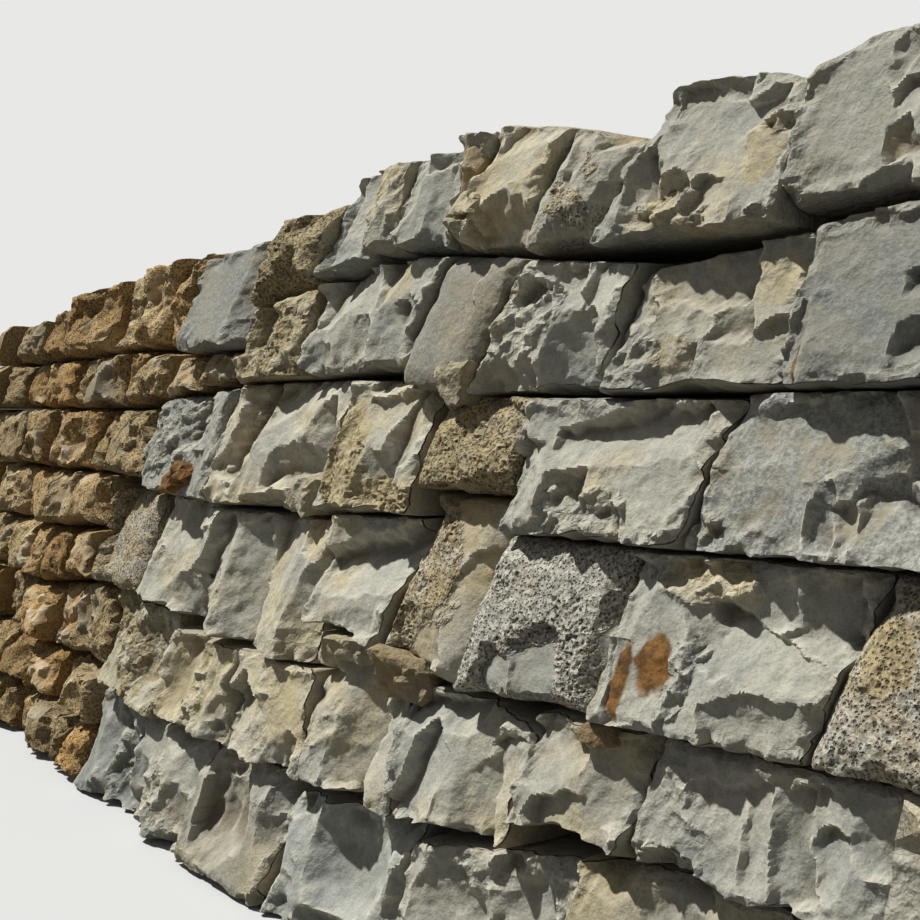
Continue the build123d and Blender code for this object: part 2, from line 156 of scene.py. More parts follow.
def pits(points, size, seed):
    """Distance to the nearest pit, as a share of the spacing."""
    nearest = np.full(len(points), 9.0)
    for _, apart in nearby(points, size, seed, PIT_STRAY):
        nearest = np.minimum(nearest, (apart ** 2).sum(axis=1))
    return np.sqrt(nearest)


def smooth(value, low, high):
    """0 up to the low value, 1 from the high one, and a soft step between them."""
    share = np.clip((value - low) / (high - low), 0.0, 1.0)
    return share * share * (3 - 2 * share)


# The solids of the frame, each as the flat sides of its convex shape

# The smallest triangle that tells a side, and how alike two sides are that count as one
SLIVER_AREA = 1e-8
SAME_HEADING = 0.99999
SAME_REACH = 2e-4


class Hull:
    """One solid of a node: its corners and its flat sides, as outward normals and distances."""

    def __init__(self, corners, normals, reaches):
        self.corners = corners
        self.normals = normals
        self.reaches = reaches
        self.centre = (corners.min(axis=0) + corners.max(axis=0)) / 2


def hull_from(places, triangles):
    """The solid that some triangles close, with each of its flat sides once."""
    corners = places[np.unique(triangles)]
    middle = corners.mean(axis=0)
    a, b, c = (places[triangles[:, column]] for column in range(3))
    normals = np.cross(b - a, c - a)
    areas = np.linalg.norm(normals, axis=1)
    real = areas > SLIVER_AREA
    normals = normals[real] / areas[real][:, None]
    reaches = (normals * a[real]).sum(axis=1)
    inward = (normals @ middle) > reaches
    normals[inward] *= -1
    reaches[inward] *= -1
    kept = []
    for index in np.argsort(-areas[real]):
        alike = normals[kept] @ normals[index] > SAME_HEADING
        alike &= np.abs(reaches[kept] - reaches[index]) < SAME_REACH
        if not alike.any():
            kept.append(index)
    return Hull(corners, normals[kept], reaches[kept])


def hulls_of(node):
    """The solids of one node, from the wall's right end to its left."""
    mesh = frame["nodes"][node].data
    mesh.calc_loop_triangles()
    places = np.empty(len(mesh.vertices) * 3)
    mesh.vertices.foreach_get("co", places)
    places, corner_of = np.unique(np.round(places.reshape(-1, 3), 5), axis=0, return_inverse=True)
    triangles = np.array([tuple(triangle.vertices) for triangle in mesh.loop_triangles])
    triangles = corner_of.reshape(-1)[triangles]
    owner = np.arange(len(places))
    settled = False
    while not settled:
        before = owner.copy()
        lowest = owner[triangles].min(axis=1)
        for column in range(3):
            np.minimum.at(owner, triangles[:, column], lowest)
        owner = owner[owner]
        settled = (owner == before).all()
    owners = owner[triangles[:, 0]]
    hulls = [hull_from(places, triangles[owners == solid]) for solid in np.unique(owners)]
    return sorted(hulls, key=lambda hull: (-hull.centre[0], hull.centre[2]))


def axes_at(x):
    """Unit vectors to the right along the wall, up, and out of its face."""
    turns = 0
    while turns < BEND_TURNS and RIGHT_END - x > BEND_START + turns * BEND_FLAT:
        turns += 1
    heading = turns * BEND_TURN
    rightward = (math.cos(heading), -math.sin(heading), 0.0)
    outward = (-math.sin(heading), -math.cos(heading), 0.0)
    return np.array([rightward, (0.0, 0.0, 1.0), outward])


# Looks: how a kind of stone breaks and weathers, lengths in metres

GREY = {
    # size and depth of the big flakes, and of the chips on them
    "flake": 0.120, "relief": 0.064, "chip": 0.036, "chip_relief": 0.015,
    # how much taller than wide the flakes run, and how far their borders wander
    "tall": 1.0, "warp": 0.013,
    # share of a front under a crust, how deep the pits of the crust go, and share that is broken rough
    "crust": 0.0, "pit": 0.004, "rough": 0.30,
    # how far its hollows darken, with painted shade and dirt
    "hollow_dirt_and_shade": 1.0,
    # how square the outline is, and how far the sides, the underside and the arris are worn
    "corner": 26, "wear": 0.006, "under": 0.017, "round": 0.005,
    # how far it may sit back, how fast its front falls back upward, how far its broken corners are filled
    "sunk": 0.014, "lean": 0.11, "ease": 0.010,
}
CRUSTED = dict(GREY, relief=0.015, chip_relief=0.005, crust=1.0, pit=0.0030, corner=9, wear=0.008,
               round=0.024)
SMALL = dict(GREY, flake=0.090, relief=0.046, chip=0.040, chip_relief=0.014, crust=0.95, pit=0.0015,
             rough=0.6, corner=6, wear=0.024, under=0.024, round=0.020, sunk=0.070, lean=0.07, ease=0.004)
BACK = dict(GREY, flake=0.105, relief=0.052, crust=0.16, rough=0.45, hollow_dirt_and_shade=0.35, corner=16, wear=0.008,
            under=0.008, round=0.010, sunk=0.010, lean=0.0, ease=0.0)

# How far a carved front lies behind its flat one, about
CARVED_BACK = 0.02


def photo_point(hull, basis, x, y):
    """Where the ray through a pixel of the photograph meets the front of a stone, in the stone's axes."""
    middle = PHOTO_SIZE / 2
    ray = PHOTO_FORWARD * FOCAL_PIXELS + PHOTO_RIGHT * (x - middle) + PHOTO_UP * (middle - y)
    front = int(np.argmax(hull.normals @ (FACE_OUT @ basis)))
    normal, reach = hull.normals[front], hull.reaches[front] - CARVED_BACK
    return basis @ (EYE + ray * ((reach - normal @ EYE) / (normal @ ray)))


def photo_patch(hull, basis, box):
    """Middle and half size on a stone of a box of the photograph's pixels."""
    left, top, right, bottom = box
    x, y = (left + right) / 2, (top + bottom) / 2
    across = photo_point(hull, basis, right, y) - photo_point(hull, basis, left, y)
    up = photo_point(hull, basis, x, top) - photo_point(hull, basis, x, bottom)
    return photo_point(hull, basis, x, y), np.array([abs(across[0]) / 2, abs(up[1]) / 2])


# Patches: how far their borders fray, as a share of their half size, and the size of the frays
PATCH_FRAYS = ((0.34, 0.05), (0.24, 0.012))
# Cuts: metres of depth for each millimetre in the table, how steeply a border climbs back to the face,
# how far a cut may be twisted, and how ragged its outline is
CUT_SCALE = 0.00085
CUT_WALL = 1.9
CUT_TWIST = 0.30
CUT_RAGGED = 0.26


class Front:
    """The front of one stone: its grid points and where boxes of the photograph's pixels fall on it."""

    def __init__(self, points, inset, shape, stone):
        self.points = points
        self.inset = inset
        self.shape = shape
        self.stone = stone
        self.seed = stone.seed
        self.ragged = 1 + CUT_RAGGED * layered(points, 0.055, self.seed + 19)

    def placed(self, box):
        """Middle and half size of a box of pixels, from the middle of the stone."""
        place, half = photo_patch(self.stone.hull, self.stone.basis, box)
        return place[:2] - self.stone.centre, half

    def patch(self, box, offset):
        """1 inside an oval patch and 0 outside it, with a ragged border."""
        middle, half = self.placed(box)
        away = np.sqrt((((self.points - middle) / half) ** 2).sum(axis=1))
        for number, (share, size) in enumerate(PATCH_FRAYS):
            away += share * layered(self.points, size, self.seed + offset + number)
        return smooth(1.15 - away, 0.0, 0.30)

    def patches(self, boxes, offset):
        """1 inside any of some patches and 0 outside them all."""
        total = np.zeros(len(self.points))
        for box in boxes:
            total = np.maximum(total, self.patch(box, offset))
        return total

    def cut(self, bent, box, deep, slope_right, slope_up):
        """Depth of a facet or scoop in a box of pixels: its middle depth in mm, its slopes in percent."""
        middle, half = self.placed(box)
        apart = bent - middle
        twist = CUT_TWIST * math.sin(box[0] * 1.7 + box[1])
        turned = apart + twist * np.column_stack([-apart[:, 1], apart[:, 0]])
        half = half * self.ragged[:, None]
        share = np.abs(turned / half).max(axis=1)
        outside = np.linalg.norm(np.maximum(np.abs(turned) - half, 0.0), axis=1)
        depth = CUT_SCALE * deep * (1 - 0.25 * np.minimum(share, 1.0) ** 2)
        depth += slope_right / 100 * apart[:, 0] + slope_up / 100 * apart[:, 1]
        return depth - CUT_WALL * outside

    def blurred(self, values, radius):
        """The grid's values averaged over squares of points."""
        field = values.reshape(self.shape)
        for axis in (0, 1):
            margins = [(radius + 1, radius) if side == axis else (0, 0) for side in (0, 1)]
            sums = np.cumsum(np.pad(field, margins, mode="edge"), axis=axis)
            later = np.take(sums, range(2 * radius + 1, sums.shape[axis]), axis=axis)
            field = (later - np.take(sums, range(field.shape[axis]), axis=axis)) / (2 * radius + 1)
        return field.ravel()


# Carving: how far the borders of flakes wander on a small scale, how deep the spalls in the flakes are
FINE_WARP = 0.0075
SPALL_SHARE = 0.40
# What cuts leave of the flakes and of the rough parts of a front
FLAKES_BESIDE_CUTS = 0.30
ROUGH_BESIDE_CUTS = 0.45
# How far the broken rim of a front reaches inward, and the size and depth of the bites in it
RIM_WIDTH = 0.040
BITE_SIZE = 0.055
BITE_DEPTH = 0.026
# Spacing of the pits in a crust, and the greatest depth of all
PIT_SPACING = 0.009
DEEPEST = 0.12


def drift(points, size, seed):
    """How far each point is moved to the right and up, from about -1 to 1."""
    return np.stack([layered(points, size, seed), layered(points, size, seed + 2)], axis=1)


def flaked(front, bent, look, own):
    """Depth of the big flakes and of the cuts, and the share of the front that is broken rough."""
    points, seed = front.points, front.seed
    drawn = bent * np.array([look["tall"], 1 / look["tall"]])
    flakes = struck(drawn, look["flake"], seed + 11, 0.9)
    spalls = struck(drawn, look["flake"] * 0.45, seed + 15, 1.0)
    spalled = smooth(noise(points, look["flake"], seed + 17), -0.2, 0.3)
    depth = look["relief"] * (flakes + 0.10 + SPALL_SHARE * spalled * np.maximum(spalls, 0.0))
    rough = smooth(layered(points, 0.11, seed + 21), 0.30 - look["rough"], 0.72 - look["rough"] * 0.6)
    if own["cuts"]:
        depth = FLAKES_BESIDE_CUTS * depth
        rough = ROUGH_BESIDE_CUTS * rough
        for cut in own["cuts"]:
            depth = np.maximum(depth, front.cut(bent, *cut))
    depth = np.maximum(depth, 0.0) + look["lean"] * (points[:, 1] - points[:, 1].min())
    return depth, np.maximum(rough, front.patches(own["rough"], 23))


def crusted(front, bent, look, own):
    """Share of each point that is under a crust, and how far it lies in a pit of the crust."""
    points, seed = front.points, front.seed
    crust = np.full(len(points), look["crust"])
    if 0 < look["crust"] < 1:
        spots = layered(points, 0.10, seed + 41) + 0.25 * noise(points, 0.02, seed + 42)
        crust = smooth(spots, 0.62 - look["crust"], 0.78 - look["crust"])
    crust = np.maximum(crust, front.patches(own["crust"], 43)) * (1 - front.patches(own["bare"], 45))
    holes = smooth(0.50 - pits(bent, PIT_SPACING, seed + 53), 0.0, 0.30)
    return crust, holes * smooth(noise(points, 0.035, seed + 55), -0.5, 0.3)


def relief(front, look, own):
    """Depth taken off the flat front at each point, and the painted values that go with it."""
    points, inset, seed = front.points, front.inset, front.seed
    bent = points + look["warp"] * drift(points, 0.07, seed + 3) + FINE_WARP * drift(points, 0.022, seed + 7)
    depth, rough = flaked(front, bent, look, own)
    rim = smooth(-inset, -RIM_WIDTH, -0.003)
    bites = struck(bent + 0.31, BITE_SIZE, seed + 27)
    depth = depth + rim * BITE_DEPTH * np.clip(bites - 0.30, 0.0, 1.0)
    chips = struck(bent * np.array([1.0, 1.25]), look["chip"], seed + 31)
    small_chips = struck(bent, look["chip"] * 0.45, seed + 37)
    broken = np.maximum(rough, 0.7 * rim)
    depth = depth + look["chip_relief"] * broken * (chips - 0.2)
    depth = depth + look["chip_relief"] * (0.05 + 0.38 * broken) * (small_chips - 0.2)
    crust, hole = crusted(front, bent, look, own)
    lumps = 0.0035 * layered(points, 0.040, seed + 47) + 0.0020 * noise(points, 0.008, seed + 49)
    depth = depth + crust * (lumps + look["pit"] * hole)
    rounding = np.clip(1 - inset / (look["round"] * 2.2), 0, 1)
    depth = np.clip(depth + look["round"] * rounding ** 2, 0.0, DEEPEST)
    proud = front.blurred(depth, 2) - depth
    sunken = depth - front.blurred(depth, 9)
    values = {
        "coarse": np.clip(0.16 + 0.9 * broken + 0.3 * crust, 0.0, 1.0),
        "crust": crust,
        # pale fresh edges with a painted highlight, on the ridges that stand proud
        "pale_ridge_and_highlight": smooth(proud, 0.0006, 0.0034) * (1 - 0.7 * crust),
        # painted shade and dirt: darker in the hollows of the carving and in the pits of the crust
        "cavity_dirt_and_shade": look["hollow_dirt_and_shade"] * np.maximum(smooth(sunken, 0.002, 0.016), crust * 0.8 * hole),
        "rust": front.patches(own["rust"], 61),
        "hue": 1.3 * front.patches(own["warm"], 63) + 0.35 * layered(points, 0.12, seed + 65),
    }
    return depth, values


# Stone meshes

PAINTED = ("coarse", "crust", "pale_ridge_and_highlight", "rust", "cavity_dirt_and_shade", "tone", "hue", "weather")
SHARP_EDGE = math.radians(26)


class Shape:
    """Vertices, faces and painted values of a mesh that is being put together."""

    def __init__(self):
        self.places = []
        self.faces = []
        self.values = {name: [] for name in PAINTED}
        self.count = 0

    def add(self, places, faces, values):
        self.places.append(places)
        self.faces += [tuple(index + self.count for index in face) for face in faces]
        for name in PAINTED:
            self.values[name].append(np.broadcast_to(values.get(name, 0.0), len(places)))
        self.count += len(places)

    def piece(self, name, slot, nodes=()):
        """Makes the mesh a piece of the wall, in the material of its slot and in place of its nodes."""
        mesh = bpy.data.meshes.new(name)
        mesh.from_pydata(np.concatenate(self.places).tolist(), [], self.faces)
        for value_name, parts in self.values.items():
            layer = mesh.attributes.new(value_name, "FLOAT", "POINT")
            layer.data.foreach_set("value", np.concatenate(parts).astype(np.float32))
        mesh.shade_smooth()
        mesh.set_sharp_from_angle(angle=SHARP_EDGE)
        mesh.update()
        piece = bpy.data.objects.new(name, mesh)
        bpy.context.scene.collection.objects.link(piece)
        piece.data.materials.append(MATERIALS[slot])
        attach(piece, "root")
        if nodes:
            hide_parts(*nodes)


def faces_of_grid(columns, rows):
    width = columns + 1
    return [(row * width + column, row * width + column + 1, (row + 1) * width + column + 1,
             (row + 1) * width + column) for row in range(rows) for column in range(columns)]


def rim_of_grid(columns, rows):
    """Grid points round the rim of a grid, in order."""
    width = columns + 1
    rim = list(range(columns))
    rim += [row * width + columns for row in range(rows)]
    rim += [rows * width + column for column in range(columns, 0, -1)]
    rim += [row * width for row in range(rows, 0, -1)]
    return np.array(rim)


# How far behind the rim of a carved front the rings of its sides lie: mostly hidden, and open to view
FACE_STEPS = (0.004, 0.011, 0.024, 0.045, 0.10)
OPEN_STEPS = (0.004, 0.011, 0.024, 0.045, 0.075, 0.110, 0.150, 0.190, 0.230, 0.270, 0.310)
# How far a side looks towards the view, at least, to belong to the front, and at most, to the tail
FRONT_SIDES = 0.05
TAIL_SIDES = -0.3
# Sides of the front that lean from its flat by more than this are broken corners
FLAT_FRONT = math.radians(9)
# Where along its depth, from the tail, a stone gives its outline
OUTLINE_SHARE = 0.3
# Behind the rim: how fast the corners of a stone grow square, and how far back the wear of the rim reaches
SQUARING = 3000
RIM_WEAR_REACH = 0.05


class Stone:
    """One solid along its own axes: right, up and out of the side that is carved."""

    def __init__(self, hull, basis, look, seed):
        self.hull = hull
        self.basis = basis
        self.look = look
        self.seed = seed
        corners = hull.corners @ basis.T
        self.low, self.high = corners.min(axis=0), corners.max(axis=0)
        self.centre = (self.low[:2] + self.high[:2]) / 2
        self.tail_level = self.low[2] + OUTLINE_SHARE * (self.high[2] - self.low[2])
        self.normals = hull.normals @ basis.T
        self.facing = self.normals[:, 2] > FRONT_SIDES
        self.around = (self.normals[:, 2] >= TAIL_SIDES) & ~self.facing
        falling = self.facing & (self.normals @ FACE_OUT < math.cos(FLAT_FRONT))
        self.reaches = hull.reaches + look["ease"] * falling

    def room(self, planes, flat, depth):
        """How far points lie inside each of the planes, measured square to the view."""
        normals = self.normals[planes]
        return self.reaches[planes] - flat @ normals[:, :2].T - np.outer(depth, normals[:, 2])

    def slice_reach(self, planes, rays, depth, corner):
        """How far each ray runs in the slice of the hull at a depth, with softened corners."""
        room = np.maximum(self.room(planes, np.tile(self.centre, (len(rays), 1)), depth), 1e-4)
        nearness = np.clip(rays @ self.normals[planes][:, :2].T, 0.0, None) / room
        largest = np.maximum(nearness.max(axis=1), 1e-9)
        summed = ((nearness / largest[:, None]) ** corner).sum(axis=1)
        return 1 / (largest * np.maximum(summed, 1.0) ** (1 / corner))

    def front_of(self, flat):
        """Depth of the hull's front at flat points."""
        facing = self.normals[self.facing]
        return ((self.reaches[self.facing] - flat @ facing[:, :2].T) / facing[:, 2]).min(axis=1)

    def below(self, rays):
        """1 where a ray runs out through the underside, 0 at the other sides."""
        half = (self.high[:2] - self.low[:2]) / 2
        return smooth(-rays[:, 1] / half[1] / np.maximum(np.abs(rays[:, 0]) / half[0], 1e-3), 0.75, 1.25)

    def wear(self, where, behind):
        """How far the sides are worn back inside the hull, fading out towards the tail."""
        unrolled = np.column_stack([where[:, 0], where[:, 1] + 0.4 * where[:, 2]]) + 0.37
        notches = struck(unrolled, 0.045, self.seed + 71)
        worn = 0.4 + 0.5 * layered(where, 0.06, self.seed + 73) + 0.5 * noise(where, 0.017, self.seed + 74)
        worn = worn + 0.6 * np.clip(notches, 0, 1)
        return np.clip(self.look["wear"] * worn * (1 - smooth(behind, 0.03, 0.10)), 0.00005, None)

    def spread_grid(self, cell):
        """A grid over the outline: the ray of each point, and its place on it, up to 1 at the rim."""
        half = (self.high[:2] - self.low[:2]) / 2
        columns, rows = (max(6, math.ceil(2 * side / cell)) for side in half)
        across, up = np.meshgrid(np.linspace(-1, 1, columns + 1), np.linspace(-1, 1, rows + 1))
        square = np.stack([across.ravel(), up.ravel()], axis=1)
        fill = np.abs(square).max(axis=1)
        direction = square / np.maximum(fill, 1e-9)[:, None]
        direction[fill < 1e-9] = (1.0, 0.0)
        rays = direction * half
        return rays / np.linalg.norm(rays, axis=1)[:, None], fill, columns, rows

    def lay_flat(self, rays, fill, top_wear):
        """The grid's points in the worn outline, and how far the rim is worn."""
        deep = np.full(len(rays), self.tail_level)
        reach = self.slice_reach(self.around, rays, deep, self.look["corner"])
        flat = self.centre + rays * (reach * fill)[:, None]
        worn = self.wear(np.column_stack([flat, self.front_of(flat)]), np.zeros(len(flat)))
        upward = np.clip(rays[:, 1], 0, 1) ** 3
        worn = worn + top_wear * upward * (0.5 + 0.5 * layered(flat, 0.09, self.seed + 75))
        under = self.look["under"] * np.clip(0.8 + 1.1 * layered(flat, 0.10, self.seed + 77), 0.1, 2.0)
        worn = worn + under * self.below(rays)
        return flat - rays * (worn * fill ** 4)[:, None], worn

    def inset(self, flat):
        """Distance of flat points from the nearest side."""
        lengths = np.linalg.norm(self.normals[self.around][:, :2], axis=1)
        room = self.room(self.around, flat, np.full(len(flat), self.tail_level))
        return np.clip((room / lengths).min(axis=1), 0.0, None)

    def bared(self, rays, ring, behind, side_relief, top_relief):
        """Flakes struck off the sides and the top of a stone, where these are open to view."""
        bed = np.abs(self.normals[:, 1]) >= 0.6
        level, upright = self.around & bed, self.around & ~bed
        deep = np.full(len(rays), self.tail_level)
        ratio = self.slice_reach(level, rays, deep, 60) / self.slice_reach(upright, rays, deep, 60)
        sideways = side_relief * smooth(ratio, 1.0, 1.12)
        upward = top_relief * (smooth(1 / ratio, 1.0, 1.12) * (rays[:, 1] > 0))
        total = np.zeros(len(rays))
        for amount, along, across in ((sideways, 1, 0), (upward, 0, 1)):
            unrolled = np.column_stack([ring[:, along] + 0.2 * ring[:, across], ring[:, 2]])
            flakes = struck(unrolled, 0.11, self.seed + 81, 0.9)
            flakes = flakes + 0.35 * struck(unrolled, 0.045, self.seed + 83)
            total = total + amount * np.clip(flakes, 0, 2)
        return total * smooth(behind, 0.0, 0.03)

    def rings(self, steps, rays, rim, rim_wear, side_relief, top_relief):
        """Rings of points along the sides, from the rim of the carved front back to the tail."""
        rings = []
        for step in steps:
            level = np.maximum(rim[:, 2] - step, self.low[2] + 0.02)
            reach = self.slice_reach(self.around, rays, level, self.look["corner"] + SQUARING * step)
            slopes = rays @ self.normals[self.facing][:, :2].T
            room = self.room(self.facing, np.tile(self.centre, (len(rays), 1)), level)
            ahead = np.where((slopes > 0.02) & (room > 0), room / np.maximum(slopes, 0.02), 9.0)
            reach = np.minimum(reach, ahead.min(axis=1))
            ring = np.column_stack([self.centre + rays * reach[:, None], level])
            behind = np.full(len(ring), step)
            share = min(1.0, step / RIM_WEAR_REACH)
            worn = (1 - share) * rim_wear + share * self.wear(ring, behind)
            worn = worn + self.bared(rays, ring, behind, side_relief, top_relief)
            rings.append(np.column_stack([ring[:, :2] - rays * worn[:, None], level]))
        last = rings[-1][:, :2]
        tail = self.normals[:, 2] < TAIL_SIDES
        depths = (self.reaches[tail] - last @ self.normals[tail][:, :2].T) / self.normals[tail][:, 2]
        rings.append(np.column_stack([last, depths.max(axis=1) + 0.0005]))
        return rings


def faces_of_stone(rim, faces, first, rings):
    """The faces of a front, of the rings of points behind its rim, and of the tail."""
    previous = rim
    for number in range(rings):
        current = np.arange(len(rim)) + first + number * len(rim)
        faces += zip(previous, current, np.roll(current, -1), np.roll(previous, -1))
        previous = current
    return faces + [tuple(previous[::-1])]


def paint_sides(painted, stone, sides, rings, open_sides):
    """The painted values of the rings behind a front, with painted shade in the joints: darker towards the
    tail where they are hidden.
    """
    front = len(painted["crust"])
    for name in painted:
        painted[name] = np.concatenate([painted[name], np.zeros(len(sides))])
    # painted shade between the stones, deeper the further back a ring lies
    hidden = np.clip(0.3 + 0.09 * np.arange(rings), 0, 1)
    painted["crust"][front:] = stone.look["crust"] * smooth(layered(sides, 0.12, stone.seed + 85), -0.7, 0.1)
    painted["hue"][front:] = 0.35 * layered(sides, 0.12, stone.seed + 87)
    painted["cavity_dirt_and_shade"][front:] = np.repeat(0.3 * hidden if open_sides else hidden, len(sides) // rings)
    painted["coarse"][front:] = 0.7 * open_sides


def carve_stone(shape, stone, cell, own, steps=FACE_STEPS, top_wear=0.0, side_relief=0.0, top_relief=0.0):
    """Adds one stone: a carved front on a fine grid, its sides in rings back to the tail, and the tail."""
    chance = random.Random(stone.seed)
    rays, fill, columns, rows = stone.spread_grid(cell)
    flat, worn = stone.lay_flat(rays, fill, top_wear)
    sunk = stone.look["sunk"] * chance.random() ** 2
    front = Front(flat - stone.centre, stone.inset(flat), (rows + 1, columns + 1), stone)
    depth, painted = relief(front, stone.look, own)
    grid = np.column_stack([flat, stone.front_of(flat) - depth - sunk])
    rim = rim_of_grid(columns, rows)
    rings = stone.rings(steps, rays[rim], grid[rim], worn[rim], side_relief, top_relief)
    faces = faces_of_stone(rim, faces_of_grid(columns, rows), len(grid), len(rings))
    if np.linalg.det(stone.basis) < 0:
        faces = [face[::-1] for face in faces]
    sides = np.concatenate(rings)
    paint_sides(painted, stone, sides, len(rings), max(side_relief, top_relief) > 0)
    painted["tone"] = chance.uniform(-1, 1) if own["tone"] is None else own["tone"]
    painted["hue"] = painted["hue"] + (chance.uniform(-1, 1) if own["hue"] is None else own["hue"])
    painted["weather"] = own["weather"]
    shape.add(np.concatenate([grid, sides]) @ stone.basis, faces, painted)


# Materials

class Nodes:
    """Short way to add shader nodes to a material."""

    def __init__(self, name):
        self.material = bpy.data.materials.new(name)
        self.material.use_nodes = True
        self.tree = self.material.node_tree

    def join(self, value, socket):
        if isinstance(value, bpy.types.NodeSocket):
            self.tree.links.new(value, socket)
        else:
            socket.default_value = value

    def surface(self, inputs):
        """Gives the material's shader its inputs by name."""
        for key, value in inputs.items():
            self.join(value, self.tree.nodes["Principled BSDF"].inputs[key])

    def add(self, kind, inputs, **settings):
        """A new node with its inputs by name or number."""
        node = self.tree.nodes.new(kind)
        for key, value in settings.items():
            setattr(node, key, value)
        for key, value in inputs.items():
            self.join(value, node.inputs[key])
        return node

    def value(self, name):
        """A painted value of the mesh."""
        node = self.add("ShaderNodeAttribute", {}, attribute_name=name, attribute_type="GEOMETRY")
        return node.outputs["Fac"]

    def place(self, stretch=(1.0, 1.0, 1.0)):
        where = self.add("ShaderNodeTexCoord", {}).outputs["Object"]
        return self.add("ShaderNodeMapping", {"Vector": where, "Scale": stretch}).outputs["Vector"]

    def noise(self, scale, detail, rough, stretch=(1.0, 1.0, 1.0)):
        inputs = {"Scale": scale, "Detail": detail, "Roughness": rough, "Vector": self.place(stretch)}
        return self.add("ShaderNodeTexNoise", inputs).outputs["Fac"]

    def cells(self, scale):
        """Distance to the nearest middle of small round cells."""
        return self.add("ShaderNodeTexVoronoi", {"Scale": scale, "Vector": self.place()}).outputs["Distance"]

    def facets(self, scale, bend):
        """Small flat chips with sharp borders, on a bent pattern so that they don't look round."""
        shift = self.grey(self.times(self.noise(40.0, 2.0, 0.55), bend))
        moved = self.add("ShaderNodeVectorMath", {0: self.place(), 1: shift}, operation="ADD").outputs[0]
        inputs = {"Scale": scale, "Vector": moved}
        return self.add("ShaderNodeTexVoronoi", inputs, distance="CHEBYCHEV").outputs["Distance"]

    def grey(self, value):
        return self.add("ShaderNodeCombineXYZ", {"X": value, "Y": value, "Z": value}).outputs[0]

    def spread(self, value, low, high, to_low=0.0, to_high=1.0):
        """The value moved from one range to another, and held inside it."""
        inputs = {"Value": value, "From Min": low, "From Max": high, "To Min": to_low, "To Max": to_high}
        return self.add("ShaderNodeMapRange", inputs).outputs["Result"]

    def plus(self, first, second):
        return self.add("ShaderNodeMath", {0: first, 1: second}, operation="ADD").outputs[0]

    def times(self, first, second):
        return self.add("ShaderNodeMath", {0: first, 1: second}, operation="MULTIPLY").outputs[0]

    def mix(self, share, first, second, blend="MIX"):
        """Two colours mixed, which are inputs 6 and 7 of the node."""
        inputs = {"Factor": share, 6: first, 7: second}
        return self.add("ShaderNodeMix", inputs, data_type="RGBA", blend_type=blend).outputs[2]

    def shade(self, base, value, low, high, darkest, lightest):
        """The colour times a factor that follows a value."""
        return self.mix(1.0, base, self.grey(self.spread(value, low, high, darkest, lightest)), "MULTIPLY")

    def bump(self, height, strength, distance, under=None):
        inputs = {"Height": height, "Strength": strength, "Distance": distance}
        if under:
            inputs["Normal"] = under
        return self.add("ShaderNodeBump", inputs).outputs["Normal"]


def colour(red, green, blue):
    """An sRGB colour from 0 to 255 as Blender's linear values."""
    linear = []
    for channel in (red, green, blue):
        share = channel / 255
        linear.append(share / 12.92 if share <= 0.04045 else ((share + 0.055) / 1.055) ** 2.4)
    return (*linear, 1.0)


# How many small pits of a crust lie side by side in a metre
PIT_CELLS = 165.0


def split_colour(n, fresh, cool, warm, broad, middle, fine):
    """Colour of a split face: cool and warm parts, streaks, specks, weathering and pale broken edges, which
    are partly a painted highlight on the ridges.
    """
    hue = n.plus(n.spread(n.value("hue"), -1.0, 1.0, -0.28, 0.28), n.noise(5.5, 3.0, 0.6))
    base = n.mix(n.spread(hue, 0.28, 0.50), cool, fresh)
    base = n.mix(n.spread(hue, 0.56, 0.82), base, warm)
    streaks = n.spread(n.noise(26.0, 3.0, 0.65, (1.0, 1.0, 0.22)), 0.40, 0.68)
    base = n.mix(n.times(streaks, 0.22), base, colour(206, 201, 190))
    base = n.shade(base, middle, 0.36, 0.66, 0.80, 1.12)
    specks = n.spread(n.noise(210.0, 2.0, 0.8), 0.52, 0.66)
    base = n.mix(n.times(specks, 0.35), base, colour(104, 99, 92))
    weathered = n.mix(n.spread(fine, 0.42, 0.58), colour(118, 120, 118), colour(176, 177, 172))
    weathered = n.mix(n.spread(broad, 0.48, 0.62, 0.0, 0.8), weathered, colour(160, 150, 126))
    base = n.mix(n.times(n.value("weather"), 0.70), base, weathered)
    # pale ridges: fresh broken edges and a painted highlight
    return n.mix(n.times(n.value("pale_ridge_and_highlight"), 0.50), base, colour(214, 208, 194))


def crust_colour(n, crust, dark, light, broad, middle, fine, pitted):
    """Colour of the crust, with dark hollows where it is pitted."""
    tan = n.plus(n.spread(n.value("hue"), -1.0, 1.6, -0.28, 0.28), broad)
    skin = n.mix(n.spread(tan, 0.36, 0.66), light, crust)
    skin = n.mix(n.times(n.spread(fine, 0.44, 0.56), 0.55), skin, dark)
    if not pitted:
        return skin
    hollow = n.times(n.spread(n.cells(PIT_CELLS), 0.20, 0.42, 1.0, 0.0), n.spread(middle, 0.34, 0.44))
    return n.mix(n.times(hollow, 0.50), skin, dark)


def stone_normal(n, pitted):
    """Small relief of the surface: grain, then pits or chips, then soft waves."""
    coarse = n.value("coarse")
    grain = n.times(n.noise(120.0, 4.0, 0.75), n.spread(coarse, 0.0, 1.0, 0.45, 1.0))
    normal = n.bump(grain, 0.8, 0.0042)
    if pitted:
        hollows = n.times(n.spread(n.cells(PIT_CELLS), 0.12, 0.42), n.value("crust"))
        normal = n.bump(hollows, 1.0, 0.007, normal)
    else:
        normal = n.bump(n.times(n.facets(46.0, 0.040), coarse), 1.0, 0.0075, normal)
    waves = n.times(n.noise(34.0, 3.0, 0.6), n.spread(coarse, 0.0, 1.0, 0.35, 1.0))
    return n.bump(waves, 0.8, 0.0090, normal)


